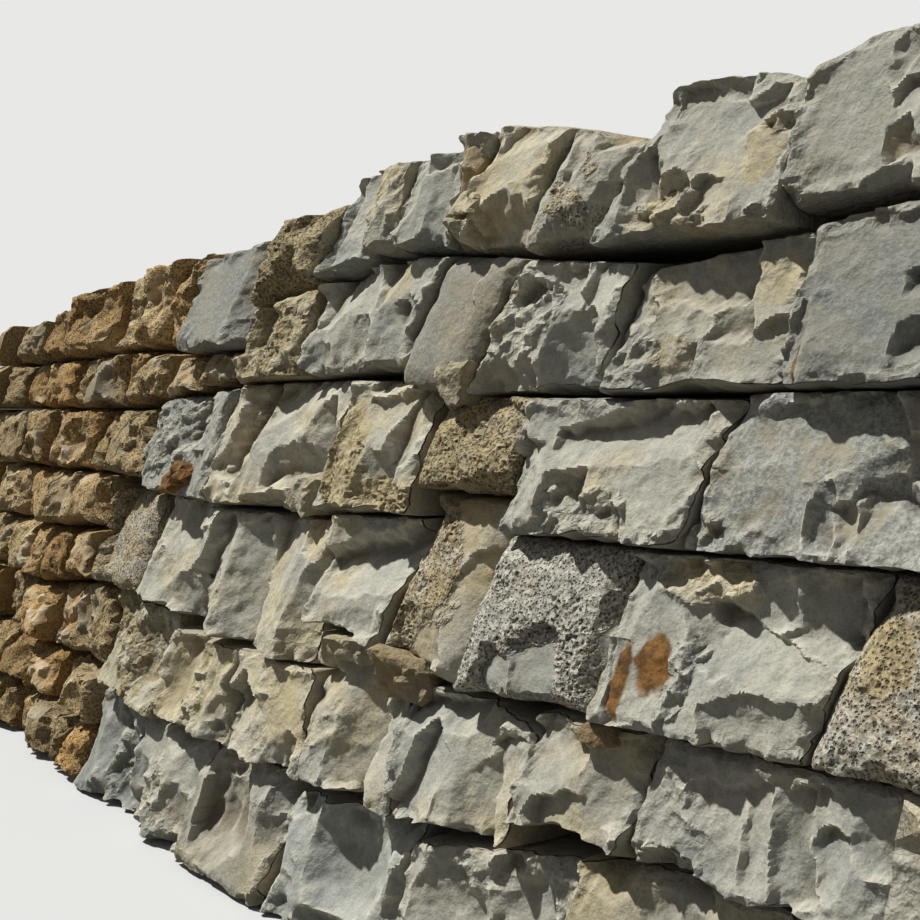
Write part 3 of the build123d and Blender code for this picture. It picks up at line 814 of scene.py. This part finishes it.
def limestone(name, fresh, cool, warm, crust, crust_dark, crust_light, pitted):
    """Split limestone: fresh faces, weathered ones, a crust, iron rust, hollows darkened with painted shade
    and dirt, and its own tone.
    """
    n = Nodes(name)
    broad, middle, fine = n.noise(16.0, 4.0, 0.7), n.noise(38.0, 4.0, 0.75), n.noise(120.0, 3.0, 0.8)
    base = split_colour(n, fresh, cool, warm, broad, middle, fine)
    skin = crust_colour(n, crust, crust_dark, crust_light, broad, middle, fine, pitted)
    whole = n.mix(n.value("crust"), base, skin)
    rusty = n.mix(n.spread(middle, 0.40, 0.60), colour(138, 98, 50), colour(86, 62, 36))
    whole = n.mix(n.value("rust"), whole, rusty)
    # painted shade and dirt: the hollows and the joints are multiplied by a dark brown
    whole = n.mix(n.times(n.value("cavity_dirt_and_shade"), 0.55), whole, colour(128, 112, 92), "MULTIPLY")
    whole = n.shade(whole, n.value("tone"), -1.0, 1.0, 0.74, 1.15)
    n.surface({"Base Color": whole, "Roughness": n.spread(middle, 0.3, 0.7, 0.75, 0.95),
               "Specular IOR Level": 0.25, "Normal": stone_normal(n, pitted)})
    return n.material


# Fresh, cool and warm stone, then its crust, the hollows of the crust and its light parts
SHADES = {
    "grey_limestone": ((176, 174, 163), (153, 156, 152), (192, 179, 145),
                       (188, 173, 137), (88, 79, 62), (208, 203, 188)),
    "crusted_limestone": ((176, 172, 159), (154, 155, 149), (190, 174, 138),
                          (188, 171, 134), (86, 79, 66), (208, 205, 195)),
    "brown_limestone": ((188, 162, 120), (160, 145, 115), (196, 160, 104),
                        (196, 156, 98), (102, 80, 52), (196, 174, 132)),
    "packing_rubble": ((150, 141, 121), (137, 132, 120), (152, 128, 90),
                       (150, 132, 102), (70, 60, 46), (182, 168, 138)),
}
MATERIALS = {name: limestone(name, *[colour(*shade) for shade in shades], pitted=name != "grey_limestone")
             for name, shades in SHADES.items()}
SLOTS = {part["node"]: part["material_slot"] for part in frame["record"]["subparts"]}


# Which look and which grid a stone of a node gets

def look_for(node):
    """How the stones of a node of the face break and weather."""
    if "small" in node or "pinning" in node:
        return SMALL
    if node == "foundation_stones":
        return dict(GREY, ease=0.0)
    if SLOTS[node] == "crusted_limestone":
        return CRUSTED
    return GREY


# Cells of the grids: the finest, how much wider the widest ones are, and where along the wall they widen
FINEST_CELL = 0.0034
CELL_GROWTH = 0.0046
GROWTH_START = 0.7
GROWTH_LENGTH = 2.3
BACK_CELL = 0.0135
END_CELL = 0.010


def cell_for(node, hull):
    """Grid size of a front: finest at the end of the wall that is nearest in the photograph."""
    distance = RIGHT_END - hull.centre[0]
    cell = FINEST_CELL + CELL_GROWTH * min(max((distance - GROWTH_START) / GROWTH_LENGTH, 0.0), 1.0)
    return COARSER * cell * (1.25 if node == "foundation_stones" else 1.0)


def open_above(hull, hulls):
    """Whether no other stone of the node lies over this one."""
    for other in hulls:
        over = other.centre[2] > hull.centre[2] + 0.05
        if over and other.corners[:, 0].min() < hull.centre[0] < other.corners[:, 0].max():
            return False
    return True


# What the photograph shows on single stones. Boxes are its pixels: left, top, right, bottom.
# A cut is a box, its depth in mm, and how fast it deepens to the right and upward, in percent.

def seen(hue=None, tone=None, weather=0.0, on_bed=False, look=None, rough=(), crust=(), bare=(), rust=(),
         warm=(), cuts=()):
    """One stone: its shade, changes of its look, boxes that stand out, and its cuts."""
    return dict(hue=hue, tone=tone, weather=weather, on_bed=on_bed, look=look or {}, rough=rough, crust=crust,
                bare=bare, rust=rust, warm=warm, cuts=cuts)


PLAIN = seen()
OWN = {
    "pinning_stones": seen(-0.70, -0.20, look=dict(crust=0.1)),
    "top_course_stone_1": seen(0.10, -0.10, weather=0.25, rough=[(770, 185, 805, 228)],
        warm=[(884, 120, 910, 156)],
        cuts=[((797, 50, 884, 218), 14, 6, 5), ((768, 120, 792, 192), 12, -30, 10),
              ((768, 188, 804, 228), 24, 25, -45), ((884, 26, 904, 84), 34, 45, 10),
              ((904, 20, 921, 46), 26, 40, 0), ((886, 120, 908, 154), 36, 25, -30),
              ((862, 156, 904, 198), 30, 20, -80), ((898, 78, 930, 122), 14, -45, 40),
              ((900, 150, 930, 180), 14, -25, 50), ((880, 196, 930, 224), 12, 5, -10)]),
    "top_course_stone_2": seen(0.10, -0.10,
        rough=[(620, 192, 690, 236), (752, 103, 792, 128), (738, 198, 772, 234)],
        warm=[(738, 108, 776, 186), (738, 120, 774, 176), (620, 196, 660, 232)],
        cuts=[((648, 94, 744, 188), 22, 10, 16), ((690, 68, 737, 94), 34, 30, -40),
              ((738, 62, 804, 99), 26, 5, 75), ((738, 86, 764, 122), 26, 60, -20),
              ((764, 97, 788, 108), 24, 10, -70), ((688, 178, 736, 230), 18, -30, 10),
              ((642, 176, 678, 198), 36, 20, -70), ((592, 183, 620, 244), 16, -40, 15),
              ((620, 156, 643, 218), 32, 80, -10), ((742, 118, 774, 184), 16, 30, 10),
              ((640, 226, 760, 250), 20, 5, -70), ((640, 100, 664, 150), 22, -50, 40)]),
    "top_course_stone_3": seen(0.35, 0.20, look=dict(crust=0.45), rough=[(530, 110, 640, 250)],
        warm=[(596, 116, 640, 140)],
        cuts=[((598, 108, 642, 152), 24, 5, 75), ((598, 118, 638, 138), 38, 10, -40),
              ((592, 176, 613, 224), 30, 60, -20), ((572, 112, 588, 184), 16, -50, 5),
              ((540, 126, 572, 200), 18, -25, 15), ((545, 205, 590, 250), 20, 10, -35)]),
    "top_course_stone_4": seen(0.65, 0.65, warm=[(516, 156, 558, 214)],
        cuts=[((500, 120, 560, 160), 20, -5, 60), ((482, 122, 502, 168), 26, -60, 5),
              ((518, 160, 557, 212), 16, 25, 5), ((474, 176, 532, 286), 66, -15, -70),
              ((530, 214, 556, 262), 34, 35, -55)]),
    "top_course_stone_5": seen(-0.30, 0.25, look=dict(tall=1.5),
        cuts=[((400, 140, 421, 264), 20, -40, 10), ((421, 138, 442, 264), 32, 45, -10),
              ((413, 206, 437, 258), 42, 50, -50), ((428, 132, 462, 160), 30, 50, -30),
              ((442, 150, 468, 226), 18, -35, 15), ((440, 214, 470, 250), 26, 10, -55)]),
    "top_course_stone_6": seen(0.40, 0.00, look=dict(tall=1.5), warm=[(362, 163, 384, 217)],
        cuts=[((363, 162, 384, 218), 26, -40, 5), ((396, 162, 415, 194), 18, 35, 15),
              ((378, 230, 401, 266), 40, 30, -70), ((392, 192, 414, 236), 28, 55, -10)]),
    "top_course_stone_7": seen(-0.45, 0.15, look=dict(tall=1.5),
        cuts=[((338, 168, 372, 268), 30, 10, 22), ((322, 178, 339, 264), 36, 70, 0),
              ((340, 166, 366, 190), 22, 0, 60)]),
    "top_course_stone_8": seen(1.00, 0.10, look=dict(relief=0.034, chip_relief=0.009),
        rough=[(255, 200, 332, 300)], warm=[(255, 200, 332, 300)],
        cuts=[((288, 216, 303, 235), 40, 30, -40), ((262, 250, 293, 294), 48, 20, -60),
              ((298, 201, 334, 238), 18, -30, 55), ((255, 222, 284, 262), 22, -50, 10),
              ((300, 240, 330, 296), 28, 35, -25)]),
    "top_course_stone_9": seen(-0.35, -0.65, weather=0.75,
        cuts=[((182, 235, 246, 357), 10, 5, 4), ((224, 240, 250, 352), 30, 75, 0)]),
    "fifth_course_stone_1": seen(-0.15, -0.90, weather=0.55, rust=[(791, 345, 795, 388)],
        cuts=[((788, 205, 925, 392), 11, 5, 3), ((896, 304, 930, 348), 30, 20, -60),
              ((896, 276, 930, 301), 18, -25, 75), ((786, 300, 806, 392), 15, -25, 0),
              ((820, 214, 880, 232), 18, 10, 45)]),
    "fifth_course_stone_2": seen(0.05, -0.20, weather=0.30, rough=[(600, 330, 660, 400)],
        warm=[(655, 335, 690, 372), (742, 250, 812, 300)],
        cuts=[((628, 236, 742, 300), 46, 10, -10), ((604, 240, 650, 325), 50, -15, -10),
              ((742, 236, 812, 302), 13, 5, 12), ((716, 284, 744, 332), 34, 50, -20),
              ((664, 290, 700, 330), 16, -30, 30), ((598, 322, 640, 397), 20, -40, 25),
              ((690, 332, 790, 392), 13, 12, 5), ((640, 345, 690, 395), 18, 20, -15),
              ((790, 300, 812, 392), 16, 30, 0)]),
    "fifth_course_stone_3": seen(-0.10, 0.60, rough=[(475, 270, 545, 355)],
        cuts=[((575, 243, 604, 398), 18, -25, 15), ((552, 266, 580, 322), 24, 20, 30),
              ((538, 314, 584, 397), 56, 35, -35), ((473, 268, 511, 314), 16, -40, 30),
              ((511, 290, 546, 352), 22, -10, 40), ((480, 348, 532, 402), 46, 10, -70),
              ((495, 246, 556, 268), 24, 5, 60), ((584, 330, 606, 398), 26, 60, -10)]),
    "fifth_course_stone_4": seen(0.50, -0.85, weather=0.70, look=dict(crust=0.0),
        cuts=[((406, 242, 470, 366), 9, 4, 6)]),
    "fifth_course_stone_5": seen(0.15, 0.35, on_bed=True, warm=[(384, 262, 408, 301)],
        cuts=[((328, 272, 366, 326), 26, -30, 45), ((318, 324, 360, 392), 30, 20, -25),
              ((370, 298, 397, 378), 30, 35, -15), ((384, 262, 408, 301), 14, -35, 35),
              ((302, 297, 325, 343), 24, -55, 10), ((300, 340, 324, 386), 34, 20, -40),
              ((390, 302, 410, 376), 24, -45, 5)]),
    "fifth_course_stone_6": seen(1.00, 0.20, look=dict(crust=0.8, relief=0.034, chip_relief=0.009),
        rough=[(252, 296, 312, 376)],
        cuts=[((258, 318, 286, 350), 24, -40, 20), ((284, 330, 312, 376), 34, 40, -40)]),
    "fourth_course_stone_1": seen(-0.20, 0.10, weather=1.00, rough=[(686, 512, 722, 552)],
        bare=[(852, 500, 930, 574)],
        cuts=[((702, 402, 890, 478), 10, 3, 14), ((690, 470, 806, 556), 13, -10, -4),
              ((816, 476, 830, 548), 18, 60, -15), ((856, 476, 908, 503), 36, 10, -90),
              ((852, 500, 930, 574), 20, -10, 28), ((905, 438, 930, 484), 32, 30, -55),
              ((836, 500, 858, 560), 24, -45, 10)]),
    "fourth_course_stone_2": seen(0.00, 0.30, rough=[(538, 484, 624, 552), (618, 532, 686, 556)],
        cuts=[((502, 442, 541, 544), 24, -45, 8), ((556, 424, 686, 480), 24, 2, 55),
              ((563, 498, 586, 522), 32, 25, -45), ((598, 506, 620, 526), 34, 25, -45),
              ((572, 520, 618, 548), 24, 10, -50), ((620, 488, 684, 536), 12, 8, 2),
              ((538, 470, 566, 540), 30, 50, -10), ((664, 440, 690, 548), 20, 45, 0)]),
    "fourth_course_stone_3": seen(1.00, 0.25, look=dict(chip_relief=0.007),
        cuts=[((430, 474, 512, 504), 40, 5, -80), ((420, 402, 462, 440), 16, -20, 50),
              ((462, 410, 514, 462), 20, 15, 35)]),
    "fourth_course_stone_4": seen(0.30, 0.60, crust=[(318, 408, 362, 514), (334, 480, 426, 530)],
        warm=[(318, 408, 362, 514), (334, 480, 426, 530)],
        cuts=[((362, 396, 432, 450), 24, 10, 35), ((372, 374, 438, 401), 26, -10, 80),
              ((358, 448, 388, 503), 38, 35, -25), ((393, 402, 432, 473), 30, -35, 12),
              ((350, 506, 420, 530), 34, 0, -70), ((320, 404, 346, 470), 18, -45, 20)]),
    "fourth_course_stone_5": seen(0.45, 0.60, crust=[(240, 395, 262, 440)],
        cuts=[((268, 368, 324, 442), 24, -20, 60), ((238, 382, 270, 480), 34, -70, 25),
              ((268, 440, 322, 478), 48, 15, -60), ((236, 478, 318, 526), 52, 10, -95),
              ((300, 400, 326, 470), 26, 60, -10)]),
    "fourth_course_stone_6": seen(-0.30, -0.05, weather=0.85, rough=[(138, 380, 205, 468)],
        cuts=[((140, 382, 178, 440), 18, -35, 15), ((176, 384, 206, 440), 24, 45, 10)]),
    "third_course_stone_1": seen(0.15, 0.05, look=dict(pit=0.0018, hollow_dirt_and_shade=0.5), warm=[(860, 620, 910, 700)]),
    "third_course_stone_2": seen(0.05, 0.30, rough=[(656, 560, 752, 604), (662, 636, 692, 722)],
        rust=[(612, 640, 627, 720), (637, 634, 669, 696)], warm=[(656, 560, 752, 604)],
        cuts=[((618, 562, 662, 642), 14, -30, 12), ((688, 588, 790, 642), 34, 12, -20),
              ((696, 640, 836, 697), 22, -5, 50), ((790, 573, 843, 640), 52, 40, -35),
              ((698, 698, 806, 764), 28, 6, -30), ((662, 562, 760, 596), 14, 0, 40),
              ((610, 640, 664, 720), 12, -12, -5), ((806, 690, 840, 740), 26, 50, -20)]),
    "third_course_stone_3": seen(-0.60, 0.30,
        bare=[(480, 650, 530, 706), (516, 640, 556, 700), (594, 616, 626, 672)],
        cuts=[((512, 636, 558, 710), 22, 5, 12), ((478, 652, 514, 712), 16, -25, 5),
              ((590, 600, 626, 700), 14, 35, 10)]),
    "third_course_stone_4": seen(0.70, 0.50, look=dict(crust=0.0), crust=[(384, 500, 452, 640)],
        cuts=[((440, 560, 497, 672), 24, 20, 8), ((390, 512, 440, 600), 16, -30, 20),
              ((392, 600, 440, 660), 24, -10, -30)]),
    "third_course_stone_5": seen(0.20, 0.60,
        cuts=[((306, 552, 404, 606), 28, -4, 70), ((308, 606, 388, 642), 13, 5, -25)]),
    "third_course_stone_6": seen(0.45, 0.35, look=dict(tall=1.5), warm=[(298, 512, 334, 562)],
        cuts=[((190, 514, 222, 682), 28, -45, 8), ((222, 514, 250, 682), 44, 45, 0),
              ((252, 514, 286, 682), 24, -35, 15), ((284, 560, 311, 682), 44, 45, -10),
              ((298, 514, 334, 562), 18, -30, 45), ((311, 560, 342, 682), 24, -35, 5)]),
    "third_course_stone_7": seen(0.35, 0.40,
        cuts=[((134, 490, 164, 616), 24, -45, 10), ((164, 498, 202, 560), 18, 30, 35),
              ((164, 558, 202, 616), 40, 35, -45)]),
    "third_course_stone_8": seen(0.70, 0.10, cuts=[((100, 486, 156, 576), 18, -20, 10)]),
    "second_course_stones/0": seen(0.00, 0.00, rough=[(630, 850, 700, 900)],
        cuts=[((842, 806, 904, 868), 34, 30, -20), ((816, 836, 844, 904), 22, -50, 25),
              ((744, 788, 774, 902), 26, -35, 5), ((774, 788, 804, 902), 38, 42, 0),
              ((803, 790, 832, 862), 22, -20, 15), ((628, 838, 694, 884), 44, -10, -80),
              ((688, 788, 744, 870), 16, 12, 30)]),
    "second_course_stones/1": seen(0.30, -0.05,
        cuts=[((526, 728, 580, 802), 20, -20, 35), ((580, 740, 642, 832), 30, 40, 0),
              ((538, 800, 622, 902), 26, -12, -12)]),
    "second_course_stones/2": seen(0.20, 0.35,
        cuts=[((405, 698, 526, 744), 30, -10, 70), ((406, 744, 450, 832), 20, -40, 12),
              ((448, 758, 488, 852), 38, 42, -10), ((488, 740, 524, 852), 18, -25, 12)]),
    "second_course_stones/3": seen(0.60, 0.25,
        cuts=[((286, 670, 330, 762), 20, -45, 30), ((328, 680, 364, 792), 42, 42, -12),
              ((364, 690, 402, 802), 22, -25, 22)]),
    "second_course_stones/4": seen(0.60, 0.30,
        cuts=[((216, 690, 250, 792), 20, -40, 35), ((248, 718, 286, 832), 38, 35, -45)]),
    "second_course_stones/6": seen(0.80, 0.00, look=dict(crust=0.9)),
}


def down_to_bed(hull):
    """The hull without its short steep underside, which would cut off a lower corner of the stone."""
    steep = (hull.normals[:, 2] < -0.5) & (hull.normals[:, 2] > -0.985)
    return Hull(hull.corners, hull.normals[~steep], hull.reaches[~steep])


# Dressing the nodes: each gets one piece, in which all its stones are carved

END_STEPS = (0.004, *(0.016 * number for number in range(1, 17)))


def face_stone(shape, hull, seed, node, own):
    if own["on_bed"]:
        hull = down_to_bed(hull)
    stone = Stone(hull, axes_at(hull.centre[0]), dict(look_for(node), **own["look"]), seed)
    if node.startswith("top"):
        carve_stone(shape, stone, cell_for(node, hull), own, OPEN_STEPS, top_wear=0.014, top_relief=0.028)
    else:
        carve_stone(shape, stone, cell_for(node, hull), own)


def back_stone(shape, hull, seed, open_top):
    rightward, up, outward = axes_at(hull.centre[0])
    stone = Stone(hull, np.array([-rightward, up, -outward]), BACK, seed)
    if open_top:
        carve_stone(shape, stone, BACK_CELL * COARSER, PLAIN, OPEN_STEPS, top_wear=0.012, top_relief=0.020)
    else:
        carve_stone(shape, stone, BACK_CELL * COARSER, PLAIN)


def end_stone(shape, hull, seed, open_top, side, look):
    """A through stone, carved on the end of the wall and on its two faces."""
    rightward, up, outward = axes_at(hull.centre[0])
    length = np.ptp(hull.corners @ rightward)
    steps = tuple(step for step in END_STEPS if step < length * 0.75)
    stone = Stone(hull, np.array([-outward * side, up, rightward * side]), look, seed)
    carve_stone(shape, stone, END_CELL * COARSER, PLAIN, steps, side_relief=0.030,
                top_relief=0.020 * open_top)


def dress(node, number):
    """Rebuilds all stones of a node as one piece."""
    shape = Shape()
    hulls = hulls_of(node)
    for index, hull in enumerate(hulls):
        seed = 1000 * number + index
        open_top = open_above(hull, hulls)
        if node.startswith("back"):
            back_stone(shape, hull, seed, open_top and "upper" in node)
        elif node.startswith("right_end"):
            end_stone(shape, hull, seed, open_top, 1, BACK)
        elif node.startswith("left_end"):
            end_stone(shape, hull, seed, open_top, -1, SMALL)
        else:
            face_stone(shape, hull, seed, node, OWN.get(f"{node}/{index}", OWN.get(node, PLAIN)))
    shape.piece(node + "_stones", SLOTS[node], [node])


# Loose stones: pinnings wedged into the joints of the face, and rubble on the core

PINNINGS = [
    # node of the stone beside it, its box of pixels, how far it stands proud in mm, and its hue and rust
    ("third_course_stone_5", (326, 638, 384, 666), 14, 0.9, 0.0),
    ("third_course_stone_4", (370, 656, 419, 702), 8, 1.0, 0.45),
    ("third_course_stone_3", (585, 720, 617, 746), 20, 1.0, 0.60),
    ("fourth_course_stone_5", (273, 470, 316, 518), 4, 0.8, 0.0),
    ("fifth_course_stone_4", (436, 364, 467, 403), 16, 0.7, 0.0),
    ("top_course_stone_5", (455, 133, 481, 161), 4, 0.2, 0.0),
    ("top_course_stone_5", (451, 186, 479, 214), 4, 0.5, 0.0),
    ("top_course_stone_5", (446, 217, 470, 241), 4, 0.5, 0.0),
    ("fourth_course_stone_6", (166, 460, 196, 496), 42, 1.0, 1.0),
    ("fifth_course_stone_6", (229, 354, 252, 387), 6, 1.0, 0.30),
]
RUBBLE_COUNT = 200
RUBBLE_TRIES = 1200

# Loose stones: how far their six main breaks tilt, how many more they have, and how sharp their edges are
BREAK_TILT = 0.22
EXTRA_BREAKS = 7
BREAK_SHARPNESS = 30


def ball_of_rays(fineness):
    """Unit rays to the corners of an even ball, and its faces."""
    ball = bmesh.new()
    bmesh.ops.create_icosphere(ball, subdivisions=fineness, radius=1.0)
    rays = np.array([vert.co for vert in ball.verts])
    faces = [tuple(vert.index for vert in face.verts) for face in ball.faces]
    ball.free()
    return rays / np.linalg.norm(rays, axis=1)[:, None], faces


def pebble(shape, centre, axes, half, seed, values, fineness):
    """Adds one loose stone: a ball of rays cut by flat breaks, with a rough skin."""
    chance = random.Random(seed)
    rays, faces = ball_of_rays(fineness)
    main = [sign * way for way in np.eye(3) for sign in (1, -1)]
    breaks = [way + np.array([chance.uniform(-BREAK_TILT, BREAK_TILT) for axis in range(3)]) for way in main]
    breaks += [np.array([chance.gauss(0, 1) for axis in range(3)]) for extra in range(EXTRA_BREAKS)]
    breaks = np.array([way / np.linalg.norm(way) for way in breaks])
    reaches = [chance.uniform(0.82, 1.0) for way in main]
    reaches += [chance.uniform(1.0, 1.25) for extra in range(EXTRA_BREAKS)]
    nearness = np.clip(rays @ breaks.T, 0, None) / np.array(reaches)
    reach = 1 / (nearness ** BREAK_SHARPNESS).sum(axis=1) ** (1 / BREAK_SHARPNESS)
    places = rays * reach[:, None] * np.array(half)
    lumps = noise(places + seed, 0.024, seed) + 0.5 * noise(places + seed, 0.010, seed + 1)
    places = places * (1 + 0.12 * lumps[:, None])
    shape.add(centre + places @ axes, faces, dict(values, coarse=0.7, tone=chance.uniform(-0.6, 0.6)))


def place_pinnings():
    """Broken stones wedged into the joints, where the photograph shows them."""
    shape = Shape()
    for number, (node, box, proud, hue, rust) in enumerate(PINNINGS):
        hull = hulls_of(node)[0]
        basis = axes_at(hull.centre[0])
        place, half = photo_patch(hull, basis, box)
        deep = 0.6 * (half[0] + half[1]) + 0.02
        centre = np.array([place[0], place[1], place[2] + 0.001 * proud - deep]) @ basis
        values = {"hue": hue, "rust": rust, "crust": 0.35}
        pebble(shape, centre, basis, (half[0], half[1], deep), 700 + number, values, fineness=4)
    shape.piece("pinning_blocks", "grey_limestone")


def core_top(cores, x, y):
    """Height of the core under a place, or nothing where there is no core."""
    best = None
    for core in cores:
        up = core.normals[:, 2] > 0.5
        height = ((core.reaches[up] - core.normals[up][:, :2] @ (x, y)) / core.normals[up][:, 2]).min()
        inside = core.normals @ (x, y, height) <= core.reaches + 0.002
        if inside.all() and (best is None or height > best):
            best = height
    return best


def scatter_rubble():
    """Packing stones that lie on the core between the tails of the face and of the back."""
    chance = random.Random(41)
    cores = [core for core in hulls_of("hearting") if core.corners[:, 2].max() > 1.1]
    low = np.min([core.corners.min(axis=0) for core in cores], axis=0)
    high = np.max([core.corners.max(axis=0) for core in cores], axis=0)
    shape = Shape()
    laid = 0
    for number in range(RUBBLE_TRIES):
        x, y = chance.uniform(low[0], high[0]), chance.uniform(low[1], high[1])
        height = core_top(cores, x, y)
        if height is None:
            continue
        turn = chance.uniform(0, math.pi)
        half = (chance.uniform(0.028, 0.070), chance.uniform(0.022, 0.050), chance.uniform(0.010, 0.022))
        flat = np.array([[math.cos(turn), math.sin(turn), chance.uniform(-0.15, 0.15)],
                         [-math.sin(turn), math.cos(turn), chance.uniform(-0.15, 0.15)], [0.0, 0.0, 1.0]])
        values = {"hue": chance.uniform(-0.4, 1.0), "rust": 0.6 * (chance.random() < 0.30), "crust": 0.3}
        lift = half[2] * chance.uniform(0.2, 0.8)
        pebble(shape, np.array([x, y, height + lift]), flat, half, 900 + number, values, fineness=2)
        laid += 1
        if laid == RUBBLE_COUNT:
            break
    shape.piece("core_rubble", "packing_rubble")


def dress_wall():
    for number, node in enumerate(sorted(frame["nodes"])):
        if node == "hearting":
            frame["nodes"][node].data.materials.clear()
            frame["nodes"][node].data.materials.append(MATERIALS["packing_rubble"])
        else:
            dress(node, number)
    place_pinnings()
    scatter_rubble()


dress_wall()


# Floor, light and camera

def seen_by_camera(tree):
    """1 where a ray comes from the camera or a reflection, 0 where it lights the object."""
    path = tree.nodes.new("ShaderNodeLightPath")
    total = path.outputs["Is Camera Ray"]
    for name in ("Is Glossy Ray", "Is Transmission Ray"):
        larger = tree.nodes.new("ShaderNodeMath")
        larger.operation = "MAXIMUM"
        tree.links.new(total, larger.inputs[0])
        tree.links.new(path.outputs[name], larger.inputs[1])
        total = larger.outputs[0]
    return total


def stage():
    """A wide floor, paler to the camera than the light that it throws back."""
    bpy.ops.mesh.primitive_plane_add(size=60, location=(0, 0, 0))
    floor = bpy.context.object
    floor.name = "floor"
    n = Nodes("floor")
    shade = n.mix(seen_by_camera(n.tree), colour(84, 82, 74), colour(199, 200, 204))
    n.surface({"Base Color": shade, "Roughness": 0.9})
    floor.data.materials.append(n.material)


def sunlight():
    sun = bpy.data.objects.new("key", bpy.data.lights.new("key", "SUN"))
    sun.data.energy = 4.45
    sun.data.angle = math.radians(1.6)
    sun.data.color = (1.0, 0.99, 0.92)
    sun.rotation_euler = Vector((-0.46, -0.27, 0.85)).to_track_quat("Z", "Y").to_euler()
    bpy.context.scene.collection.objects.link(sun)


def sky():
    """Soft light from all sides, behind a plain backdrop that only the camera sees."""
    world = bpy.data.worlds.new("studio")
    bpy.context.scene.world = world
    world.use_nodes = True
    tree = world.node_tree
    light = tree.nodes["Background"]
    light.inputs["Color"].default_value = (0.93, 0.96, 1.0, 1.0)
    light.inputs["Strength"].default_value = 0.16
    backdrop = tree.nodes.new("ShaderNodeBackground")
    backdrop.inputs["Color"].default_value = colour(232, 232, 230)
    backdrop.inputs["Strength"].default_value = 1.0
    either = tree.nodes.new("ShaderNodeMixShader")
    tree.links.new(seen_by_camera(tree), either.inputs[0])
    tree.links.new(light.outputs[0], either.inputs[1])
    tree.links.new(backdrop.outputs[0], either.inputs[2])
    tree.links.new(either.outputs[0], tree.nodes["World Output"].inputs["Surface"])


def camera():
    """The photograph's camera."""
    data = bpy.data.cameras.new("camera")
    eye = bpy.data.objects.new("camera", data)
    data.sensor_width = SENSOR
    data.lens = FOCAL_PIXELS / PHOTO_SIZE * SENSOR
    data.clip_start = 0.05
    data.clip_end = 200
    eye.location = EYE
    eye.rotation_euler = (math.pi / 2 - PITCH, 0.0, math.atan2(-LOOK[0], LOOK[1]))
    bpy.context.scene.collection.objects.link(eye)
    bpy.context.scene.camera = eye


stage()
sunlight()
sky()
camera()
bpy.context.scene.view_settings.view_transform = "Standard"
